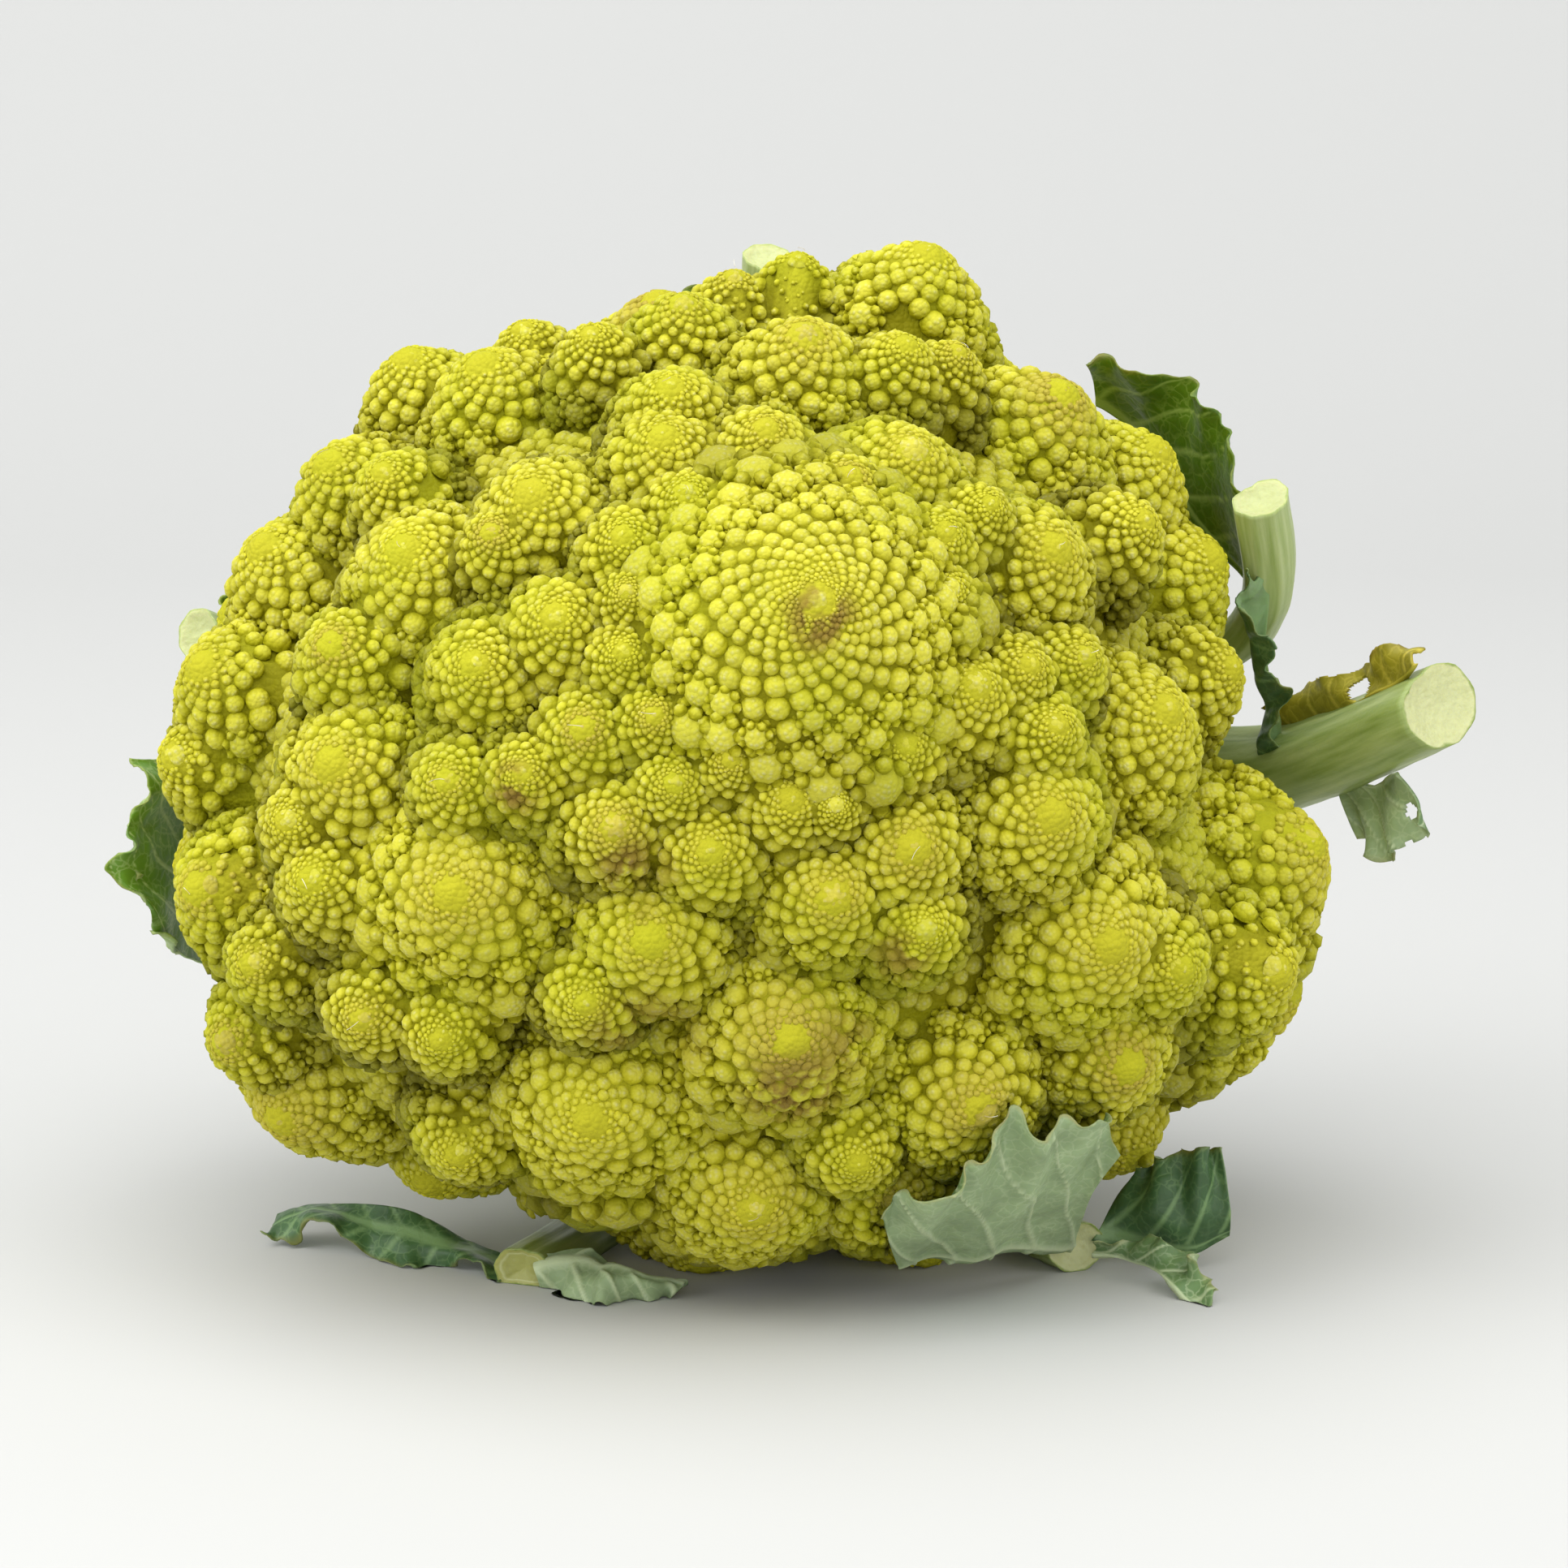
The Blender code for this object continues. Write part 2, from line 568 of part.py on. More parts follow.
def free_buds(florets):
    """The buds that show, outermost first: direction from the core, spacing, distance."""
    marks = []
    for number, floret in enumerate(florets):
        marks += [(place, spacing, floret) for place, spacing in floret.buds(number * 0.9)]
    marks.sort(key=lambda mark: -(mark[0] - CORE).length)
    kept = []
    for place, spacing, owner in marks:
        aside = math.hypot(place.x, place.y)
        if CORE.z - place.z > (BACK + CORE.z) * aside / (BACK_RADIUS + BACK_CLEAR):
            continue
        if any(floret is not owner and floret.covers(place) for floret in florets):
            continue
        direction = (place - CORE).normalized()
        distance = (place - CORE).length
        if all((direction - other).length * distance > CROWDED * (spacing + width)
               for other, width, _ in kept):
            kept.append((direction, spacing, distance + BUD_RISE * spacing))
    return kept


def back_points():
    """Points of the flat behind the florets, with its edge."""
    points = []
    for radius, count in BACK_RINGS:
        for number in range(count):
            clock = math.tau * number / count
            points.append(Vector((radius * MM * math.cos(clock), radius * MM * math.sin(clock), -BACK)))
    return points


def valley(face, reach, florets):
    """Where the surface lies between three buds: on a floret, or in the cleft between two."""
    middle = sum((vert.co for vert in face.verts), Vector()).normalized()
    lowest = min(reach[vert] for vert in face.verts)
    size = sum(edge.calc_length() for edge in face.edges) / 3 * lowest
    surface = lowest - CLEFT * size
    for floret in florets:
        if (floret.tip - CORE).normalized().dot(middle) > 0.9:
            surface = floret.reach(CORE, middle, surface)
    return middle, surface - GROOVE * size


def build_curd(collection, finish, obstacles):
    """The florets as one solid: every bud a small pyramid with grooves between."""
    florets = place_florets()
    bm = bmesh.new()
    reach = {}                        # distance of each vertex from the core
    for direction, _, distance in free_buds(florets):
        vert = bm.verts.new(direction)
        reach[vert] = distance
    back = set()
    for place in back_points():
        vert = bm.verts.new((place - CORE).normalized())
        reach[vert] = (place - CORE).length
        back.add(vert)
    bmesh.ops.convex_hull(bm, input=bm.verts)

    # a point between every three buds, joined across the old edges, leaves a pyramid on each bud
    valleys = {face: valley(face, reach, florets) for face in bm.faces
               if not any(vert in back for vert in face.verts)}
    shared = [edge for edge in bm.edges if all(face in valleys for face in edge.link_faces)]
    for face, (middle, distance) in valleys.items():
        vert = bmesh.ops.poke(bm, faces=[face])["verts"][0]
        vert.co = middle
        reach[vert] = distance
    bmesh.ops.rotate_edges(bm, edges=shared, use_ccw=False)

    start = from_head(CORE)
    for vert in bm.verts:
        direction = HEAD_TURN @ vert.co.normalized()
        point = start + direction * min(reach[vert], room(direction, start, obstacles))
        if point.z < PRESSED:
            point = start + direction * (start.z / -direction.z)
            point.z = 0
        vert.co = point
    bmesh.ops.triangulate(bm, faces=bm.faces)
    return add_object("curd", bm, finish, collection)


def leaf_obstacles():
    """Balls along the stalks and over the blades, that the florets keep clear of."""
    obstacles = []
    for name, (_, radii, _) in STALKS.items():
        sizes = spline([Vector((radius, 0, 0)) for radius in radii], 40)
        for point, size in zip(spline(stalk_route(name), 40), sizes):
            obstacles.append((point, size.x * MM + BESIDE_STALK))
    for number, (_, along, across, rows) in enumerate(BLADES.values()):
        for column in blade_grid(rows, along * 2, across * 2, number):
            obstacles += [(point, BESIDE_BLADE) for point in column]
    return obstacles


def main():
    for item in list(bpy.data.objects):
        bpy.data.objects.remove(item)
    collection = bpy.data.collections.new("romanesco")
    cutters = bpy.data.collections.new("cutters")
    bpy.context.scene.collection.children.link(collection)
    bpy.context.scene.collection.children.link(cutters)
    finishes = {name: material(name, *look) for name, look in COLOURS.items()}

    add_object("stem", loft(stem_rings()), finishes["stalk"], collection)
    stem_cutter = add_object("stem_cutter", loft(stem_rings(GAP)), None, cutters)
    stalk_cutters = build_stalks(collection, cutters, finishes["stalk"], stem_cutter)
    build_blades(collection, finishes, stalk_cutters)
    build_curd(collection, finishes["curd"], leaf_obstacles())
    for cutter in list(cutters.objects):
        bpy.data.objects.remove(cutter)


main()
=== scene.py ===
"""Romanesco broccoli on a pale studio floor, as bought: the head lies on its side, tip forward.

Metres, +Z up.  The curd is grown from the florets' places: every floret carries its buds in a
golden spiral, and the large buds carry rings of grains.
"""
import math
import random

import bmesh
import bpy
import numpy as np
from mathutils import Matrix, Vector, kdtree, noise


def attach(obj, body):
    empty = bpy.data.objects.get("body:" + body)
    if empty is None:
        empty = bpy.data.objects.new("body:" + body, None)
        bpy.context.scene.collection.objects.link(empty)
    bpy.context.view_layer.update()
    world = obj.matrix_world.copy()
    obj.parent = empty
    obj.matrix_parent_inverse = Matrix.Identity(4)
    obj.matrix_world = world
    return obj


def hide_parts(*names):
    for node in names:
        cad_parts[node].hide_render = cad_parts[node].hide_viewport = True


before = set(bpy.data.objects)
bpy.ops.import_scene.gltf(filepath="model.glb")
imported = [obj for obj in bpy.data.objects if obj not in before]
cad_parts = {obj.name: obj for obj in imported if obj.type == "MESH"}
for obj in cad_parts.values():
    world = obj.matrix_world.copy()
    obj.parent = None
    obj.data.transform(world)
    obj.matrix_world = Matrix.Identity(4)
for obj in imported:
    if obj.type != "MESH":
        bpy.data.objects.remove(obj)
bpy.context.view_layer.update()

MM = 0.001
TURN = math.radians(137.508)  # from one bud to the next, the golden angle

# Seeds of the random draws
HIDDEN_SEED = 5
STRAY_SEED = 12
SHADE_SEED = 8
SPIN_SEED = 5
GAP_SEED = 21
FIBRE_SEED = 4

# The head: a blunt dome round a leaning axis
MIDDLE = Vector((-6.1, -0.6, 72.5)) * MM  # middle of its widest section
AXIS_RISE = math.radians(26)  # the tip points forward and up
AXIS_YAW = math.radians(8)  # and a little to the right
FRONT = 72 * MM  # from the middle to the front of the dome
# its half width in mm, every 30 degrees from the right
SIDE_REACH = (73, 75, 71, 69, 70, 76, 83, 87, 78, 77, 81, 88)
BLUNTNESS = 1.75  # 2 would be an ellipsoid, 1 a cone
BACK = 30 * MM  # the florets end this far behind the middle
CORE = Vector((0, 0, -6)) * MM  # the whole surface can be seen from here

# The front view: 12 degrees above level, 0.9 m away, places in pixels of 0.115 mm
PIXEL = 0.115 * MM
VIEW_RISE = math.radians(12)
VIEW_DISTANCE = 900 * MM
VIEW_CENTRE = (966, 966)
MIDDLE_SEEN = (918, 925)
PICTURE_WIDTH = 1932
SENSOR = 36  # mm
SIGHT_FROM = 100 * MM  # the dome is looked for from this far before the middle
SIGHT_STEP = 0.3 * MM
SIGHT_STEPS = 600

# Florets: across, down, radius in mm
FLORETS = (
    # round the young florets of the tip
    (845, 600, 5.8), (925, 605, 4.8), (765, 655, 5.8), (765, 800, 4.8), (805, 880, 4.8),
    (830, 965, 5.2), (900, 935, 4.6), (1095, 640, 4.8), (1170, 650, 5.8), (1175, 720, 5.2),
    (1210, 840, 7.5), (1120, 915, 5.8), (1040, 920, 4.0), (977, 985, 6.3), (1032, 992, 4.0),
    (945, 520, 6.3), (1050, 580, 6.3), (770, 725, 4.1), (1150, 800, 4.8),
    # the second band
    (815, 530, 7.5), (825, 468, 6.9), (650, 600, 8.6), (680, 755, 6.9), (580, 815, 6.9),
    (715, 895, 6.3), (755, 1020, 6.9), (875, 1050, 6.9), (1030, 1107, 8.6), (1130, 1045, 8.6),
    (1145, 1148, 5.8), (1305, 1005, 9.8), (1275, 815, 5.8), (1310, 670, 8.6), (1130, 545, 8.1),
    (800, 1162, 9.8), (1225, 615, 4.6), (1345, 805, 5.5), (1310, 890, 5.8),
    # the third band
    (590, 435, 10.3), (465, 575, 5.8), (490, 670, 10.9), (400, 790, 6.9), (400, 938, 10.3),
    (552, 1103, 16.1), (375, 1085, 6.9), (725, 1388, 16.1), (978, 1288, 14.4),
    (1378, 1168, 14.4), (1215, 1375, 11.5), (1450, 870, 11.5), (1510, 680, 10.9),
    (1420, 635, 5.8), (1318, 472, 12.1), (1440, 545, 10.9), (1120, 415, 5.8), (995, 400, 9.8),
    (1185, 425, 4.6), (840, 362, 6.9), (1530, 820, 6.9), (1465, 1198, 6.9), (545, 960, 5.8),
    (640, 950, 5.2), (600, 650, 5.0), (345, 1010, 5.8), (440, 1260, 5.8), (540, 1285, 5.8),
    (720, 1240, 5.8), (1060, 1440, 5.8), (905, 330, 5.5),
    # the rim
    (495, 428, 8.1), (640, 395, 5.8), (725, 402, 5.2), (395, 560, 8.1), (312, 665, 11.5),
    (235, 815, 9.8), (200, 930, 6.9), (230, 1095, 8.6), (300, 1190, 5.8), (335, 1390, 13.8),
    (265, 1290, 6.9), (932, 1500, 13.8), (1632, 1032, 14.4), (1400, 1320, 9.8),
    (1150, 298, 10.9), (985, 308, 5.2), (1120, 1510, 8.6), (1590, 1200, 8.1), (560, 1430, 6.3),
)
RING_FLORETS = 38  # so many of them, the first ones, make a piece of their own

# Florets that the front view hides fill the rest, largest first
HIDDEN_RADII = (13 * MM, 9 * MM, 6 * MM, 4.5 * MM)
HIDDEN_SIZES = (0.88, 1.1)  # they vary between these shares of it
HIDDEN_TRIES = 900
HIDDEN_REACH = math.radians(117)  # how far round towards the back florets grow
HIDDEN_BACK = 0.35  # and how far they stay from the back, of their radius
HIDDEN_APART = 0.80  # nearest two tips, of their radii together
HIDDEN_ASIDE = 0.7  # nearest to the young florets, of their radius
TURNED_AWAY = 0.12  # hidden florets face away from the front view by more than this

# A floret's side: how far it drops per unit of radius at its rim, and how much of that is straight
FLORET_SLOPE = 1.05
POINTED = 0.42
CLEFT_FROM = 0.88  # past this share of its radius it falls away more steeply
CLEFT = 1.0  # by this much
LEAN = 0.42  # 0: a floret grows straight out; 1: along the head's axis
CONE_RADIUS = 22 * MM  # the young florets make a cone at the tip of the head
CONE_PROUD = 8 * MM  # its tip stands this far out of the dome
CONE_SLOPE = 0.72
CONE_POINTED = 0.50

# The spiral of a floret: buds while its radius grows 2.7 times, how much further apart they are
# at the rim, how far the tip is smooth and from where the buds are round, as shares of its radius
SPIRAL = (80, 0.35, 0.28, 0.65)
CONE_SPIRAL = (174, 0.35, 0.17, 0.45)
LEAST_TIP = 1.0 * MM  # the radius of a tip's smooth part is no less than this
MOST_TIP = 2.5 * MM  # and no more than this
FLANK = 1.5  # the last bud's distance, of the floret's radius
FLORET_FACTS = ("radius", "straight", "bend", "fold", "crowd", "flank", "first", "smooth", "rough")
BUD_WIDTH = 0.63  # of the distance to the next
BUD_SIZES = (0.84, 1.12)  # buds vary between these shares of it
BUD_CUT = 0.04  # what lies lower than this share of its radius is left out
GRAIN_CUT = -0.5  # and the same for a grain
BUD_SUNK = 0.31  # how deep its middle lies under the surface, of the distance
FLAT_BUD = 0.40  # near the tip a bud is this share as high and as deep as at the rim
JITTER = 0.10  # how far a bud strays from the spiral, of the distance
GRAIN_BUD = 1.25 * MM  # buds that are closer than this are plain grains
LARGE_BUD = 3.4 * MM  # and those further apart than this carry grains of their own
BEADS = ((8, 0.95, 0.33), (10, 1.45, 0.33))  # rings on a large bud: grains, angle down, size
BEADS_LOW = 0.92  # the rings lie this far up, of the bud's own height there
COVERED = 0.25 * MM  # buds this deep in another floret are left out
SUNK = 0.15 * MM  # the flesh between buds lies this far below them
RAY = 0.3  # metres, longer than any way out of the head

# A floret's smooth tip is a blunt cone, measured in radii of that part
TIP_SIDES = 28
TIP_RINGS = 8
TIP_REACH = 1.12  # it runs a little way under the first buds
TIP_BLUNT = 0.2  # how far from its middle it is round
TIP_BEND = 0.17  # it falls more steeply outwards by this much
TIP_RISE = 0.03  # and the whole is raised by this much
TIP_BRIM = 0.05  # its brim is turned down by this much
TIP_BRIM_POWER = 12  # and the higher this is, the more sharply
FLESH_BLUNT = 0.25  # the flesh under it is round this far from its middle

# Single buds on bare places
GAP_BUD = 2.7 * MM  # how far apart they are
GAP_APART = 0.8  # at least this share of it
GAP_BARE = 0.42  # a place this share of it away from other buds is bare
GAP_SIZES = (0.8, 1.2)
GAP_SUNK = 0.3  # a gap bud's middle lies this share of its radius deep
CLEAR_OF_FLOOR = 0.5 * MM  # no such bud lower than this

# The flesh under the buds
FLESH_FINE = 7  # times that its icosphere is divided
FLESH_LEAST = 0.86  # between florets it still reaches this share of the dome
FLORET_SPAN = 0.9  # cosine of half the angle that a floret may fill
SEARCH_STEPS = 12  # halvings of the range in which a floret's surface lies
SEARCH_ROOM = 2 * MM  # that range ends this far outside its tip
BACK_SLOPE = 0.05  # directions that lean back more than this can meet its back
BACK_RIM = 1.5 * MM  # the pale back begins this far before it

# Loose fibres on the curd, and the grain of its skin
FIBRE = 0.045 * MM  # half the thickness of a fibre
FIBRE_LENGTH = (0.8, 2.2)  # mm
FIBRE_STEPS = 7
FIBRE_EVERY = 4  # one floret in so many carries a fibre
GRAIN = 0.75 * MM  # how far apart the skin's grains are, and how far they stand out
GRAIN_DEEP = 0.3 * MM

BESIDE_STALK = 2.2 * MM  # room that florets leave round a leaf stalk
BESIDE_BLADE = 3 * MM  # and to each side of a leaf blade

# Colours of the curd, and brown spots on it: across, down in the front view, radius in mm
# the olive of the buds' lower sides and of the flesh, partly the skin's own colour and partly painted shade
# of the clefts
CURD_LOW_AND_SHADE = "#8C8700"
CURD_TOP = "#C6C028"
CURD_GREEN = "#AAB014"
BRUISES = ((985, 1370, 9), (800, 1310, 9), (780, 1085, 6), (1100, 1205, 6), (1085, 1300, 8),
           (620, 980, 5), (1310, 1130, 5))
RIPE = 2.5  # the higher, the fewer florets have a browned tip
CONE_BRUISE = (0.5, -2.4, 79, 5)  # just under the cone's tip: place in the head's axes, radius, mm

# Leaf stalks: their looks, and how fine they are made
PALE_STALKS = ("stalk_top", "stalk_left", "stalk_upper_right")
OLD_STALKS = ("stalk_front_left", "stalk_lower_left")
STALK_SIDES = 36
STALK_STEPS = 60
STALK_BALLS = 40  # balls along a stalk that keep the florets away
STALK_HEIGHT = 0.9  # of its width
STALK_UNEVEN = (0.05, 7 * MM)  # how uneven it is, of its radius, and over what length
RIDGES = 9  # fine ridges along a stalk
RIDGE = 0.12 * MM
# Cut ends: rings from the rim to the middle, how hollow, and how rough
CUT_RINGS = (0.03, 0.10, 0.17, 0.24, 0.31, 0.40, 0.50, 0.62, 0.75, 0.90)
STALK_DISH = 0.8 * MM
STEM_DISH = 1.0 * MM
CUT_ROUGH = 0.35 * MM
CUT_RIM = 8  # the roughness is full from an eighth of the way in
CUT_BUMPS = ((0.5, 0.9 * MM), (0.8, 4 * MM))  # small and larger bumps: share and length

# Leaf blades
WAVE = 1.6 * MM  # how far a blade's edge waves
WAVE_BODY = 0.4  # its middle waves this share of it
WAVE_STEP = 2.1  # radians from one station of a blade to the next
FINER = 7  # cells for each cell of the solid
LEAF = 0.45 * MM  # thickness
EDGE = 6 * MM  # this far from its edge it is ruffled and thins out
RUFFLE = 0.5 * MM  # small waves near the edge
RUFFLE_LENGTH = 4.2 * MM
SCALLOP = 0.7 * MM  # and how far the edge itself goes in and out
SCALLOP_LENGTH = 2.3 * MM  # for each radian of its wave
BLISTER = (0.25 * MM, 3 * MM)  # puffs of the leaf between its veins: height and length
WANDER = 9 * MM  # side veins and bites are uneven over this length
MAIN_VEIN = 1.1 * MM  # half width of the midrib
SIDE_VEIN = 0.65 * MM
SIDE_SHARE = 0.75  # side veins stand out this share as far as the midrib
VEIN_STRAY = 1.5 * MM  # how far a side vein wanders
VEIN_RISE = 0.45 * MM  # a main vein on the underside
VEIN_HOLLOW = 0.3  # the upper side is hollow by this share of it
HOLE_UNEVEN = 0.7  # mm that a hole's rim goes in and out

# The stem: the branches of the head run together behind it
STEM_STEPS = 40  # rings along the stem
STEM_FINER = 4  # sides for each of its sides in the solid
STEM_BRANCHES = 11
STEM_UNEVEN = (0.5 * MM, 8 * MM)  # how uneven it is, and over what length
STEM_FIBRES = 0.15 * MM  # how far the fine fibres along it stand out
BRANCH_FIBRES = 6  # and how many each branch has
STEM_START = 0.3 * MM  # it begins this much further back than the florets end
# distance behind the middle and radius in mm, depth of the furrows between branches (share of radius)
STEM_PROFILE = ((30, 45, 0.03), (34, 43, 0.10), (39, 39, 0.13), (45, 30, 0.13), (51, 23.5, 0.09),
                (58, 20.5, 0.04), (64, 20, 0.02), (70, 19.5, 0.01))
STEM_SIDES = 44
WHERE_ROUND = 50  # mm behind the middle: from here on the stem is round
ROUND_OVER = 4  # mm, and it gets round over this length
USUAL_REACH = 78 * MM  # before that it follows the head's half width
SHAPE_SHARE = 0.4  # by this much

# Heights that keep each piece just clear of the floor, or pressed flat on it
FLESH_LIFT = 0.2 * MM
LEAF_LIFT = 0.15 * MM
BUD_LIFT = 0.1 * MM
STALK_LIFT = 0.05 * MM

# The studio: a card that lies flat and then curves up behind, and lights: place, width, watts
CARD_HALF = 1.8
CARD_FRONT = -1.2
CURVE_FROM = 0.55
CURVE_RADIUS = 0.5
CURVE_STEPS = 12
CURVE_STEP = math.radians(7)
CARD_TOP = (1.15, 2.2)
LIGHTS = (
    ((-0.2, -0.25, 1.15), 1.6, 18.0),  # large box above, a little in front
    ((0.9, -0.45, 0.7), 0.8, 2.9),  # a weaker one on the right
    ((-1.0, -0.5, 0.6), 0.8, 4.8),  # and one on the left
    ((0.2, -1.3, 0.35), 0.6, 1.4),  # a small one low in front
)
LIGHT_AIM = Vector((0, 0, 0.07))
WORLD_STRENGTH = 0.86

PLANT_IOR = 1.4
SKIN_DEPTH = 1.5 * MM  # how deep light goes into curd, stalks and leaves

HEAD_RIGHT = Vector((math.cos(AXIS_YAW), math.sin(AXIS_YAW), 0))
HEAD_TIP = Vector((math.sin(AXIS_YAW) * math.cos(AXIS_RISE),
                   -math.cos(AXIS_YAW) * math.cos(AXIS_RISE),
                   math.sin(AXIS_RISE)))
# columns: the head's right, its upper side and its tip
HEAD_TURN = Matrix((HEAD_RIGHT, HEAD_TIP.cross(HEAD_RIGHT), HEAD_TIP)).transposed()


def in_head(point):
    """A point in the head's own axes, from the middle of the head."""
    return HEAD_TURN.transposed() @ (point - MIDDLE)


def from_head(place):
    """A place in the head's axes as a point of the model."""
    return MIDDLE + HEAD_TURN @ place


def side_reach(clock):
    """Half width of the head at a clock angle, smooth between the given ones."""
    steps = len(SIDE_REACH)
    turn = (clock / math.tau * steps) % steps
    first = int(turn)
    share = turn - first
    share = share * share * (3 - 2 * share)
    return MM * (SIDE_REACH[first % steps] * (1 - share) + SIDE_REACH[(first + 1) % steps] * share)


def dome(place):
    """1 on the dome's surface, less inside it."""
    clock = math.atan2(place.y, place.x)
    across = math.hypot(place.x, place.y) / side_reach(clock)
    return across ** BLUNTNESS + (abs(place.z) / FRONT) ** BLUNTNESS


def dome_reach(direction):
    """Distance from the middle of the head to the dome along a direction."""
    return dome(direction) ** (-1 / BLUNTNESS)


def dome_normal(place):
    """Which way is out, at a place on the dome."""
    step = 0.5 * MM
    slope = [dome(place + step * axis) - dome(place - step * axis)
             for axis in (Vector((1, 0, 0)), Vector((0, 1, 0)), Vector((0, 0, 1)))]
    return Vector(slope).normalized()


VIEW = Vector((0, math.cos(VIEW_RISE), -math.sin(VIEW_RISE)))
VIEW_RIGHT = Vector((1, 0, 0))
VIEW_UP = VIEW_RIGHT.cross(VIEW)
EYE = (MIDDLE - VIEW_DISTANCE * VIEW
       - VIEW_RIGHT * (MIDDLE_SEEN[0] - VIEW_CENTRE[0]) * PIXEL
       + VIEW_UP * (MIDDLE_SEEN[1] - VIEW_CENTRE[1]) * PIXEL)


def sight(across, down):
    """The line of sight through a place in the front view."""
    return (VIEW + VIEW_RIGHT * (across - VIEW_CENTRE[0]) * PIXEL / VIEW_DISTANCE
            - VIEW_UP * (down - VIEW_CENTRE[1]) * PIXEL / VIEW_DISTANCE)


def seen(across, down, depth):
    """The point seen there, depth millimetres behind the middle of the head."""
    line = sight(across, down)
    return EYE + line * ((MIDDLE.y + depth * MM - EYE.y) / line.y)


def seen_on_dome(across, down):
    """Where that line of sight first meets the dome, or passes closest to it."""
    line = sight(across, down)
    closest, closest_value = None, 1e9
    for step in range(SIGHT_STEPS):
        place = in_head(EYE + line * (VIEW_DISTANCE - SIGHT_FROM + step * SIGHT_STEP))
        value = dome(place)
        if value < closest_value:
            closest, closest_value = place, value
        if value <= 1:
            break
    return closest


# Leaf stalks: where they leave the stem, in the head's axes (mm), then the route as seen
# from the front (across, down, depth behind the middle in mm), the radius along it (mm), and
# how deep the channel in the upper side is, of the radius
STALKS = {
    "stalk_right": (((13, -4, -57), (1080, 905, 56), (1330, 930, 47), (1560, 945, 33), (1772, 866, 2)),
                    (8.5, 8.2, 7.8, 7.6, 7.0), 0.25),
    "stalk_upper_right": (((12, 8, -55), (1200, 790, 52), (1470, 800, 39), (1558, 740, 24), (1552, 612, 12)),
                          (7, 6, 4.8, 4.0, 4.3), 0.35),
    "stalk_top": (((0, 16, -55), (925, 640, 68), (940, 460, 60), (947, 319, 50)),
                  (7, 6, 4.6, 4.0), 0.3),
    "stalk_left": (((-14, 4, -56), (640, 840, 58), (380, 830, 36), (249, 783, 14)),
                   (7.5, 6, 4.6, 4.3), 0.3),
    "stalk_lower_left": (((-14, -5, -58), (640, 940, 60), (330, 1040, 40), (155, 1076, 6)),
                         (7, 5.5, 4, 2.0), 0.3),
    "stalk_front_left": (((-6, -15, -57), (800, 1380, 30), (745, 1500, 8), (645, 1566, -21)),
                         (8, 5.4, 5.0, 4.4), 0.25),
    "stalk_front_right": (((6, -15, -57), (1110, 1380, 30), (1230, 1490, 10), (1325, 1532, -14)),
                          (8, 5.4, 5.0, 4.6), 0.25),
}

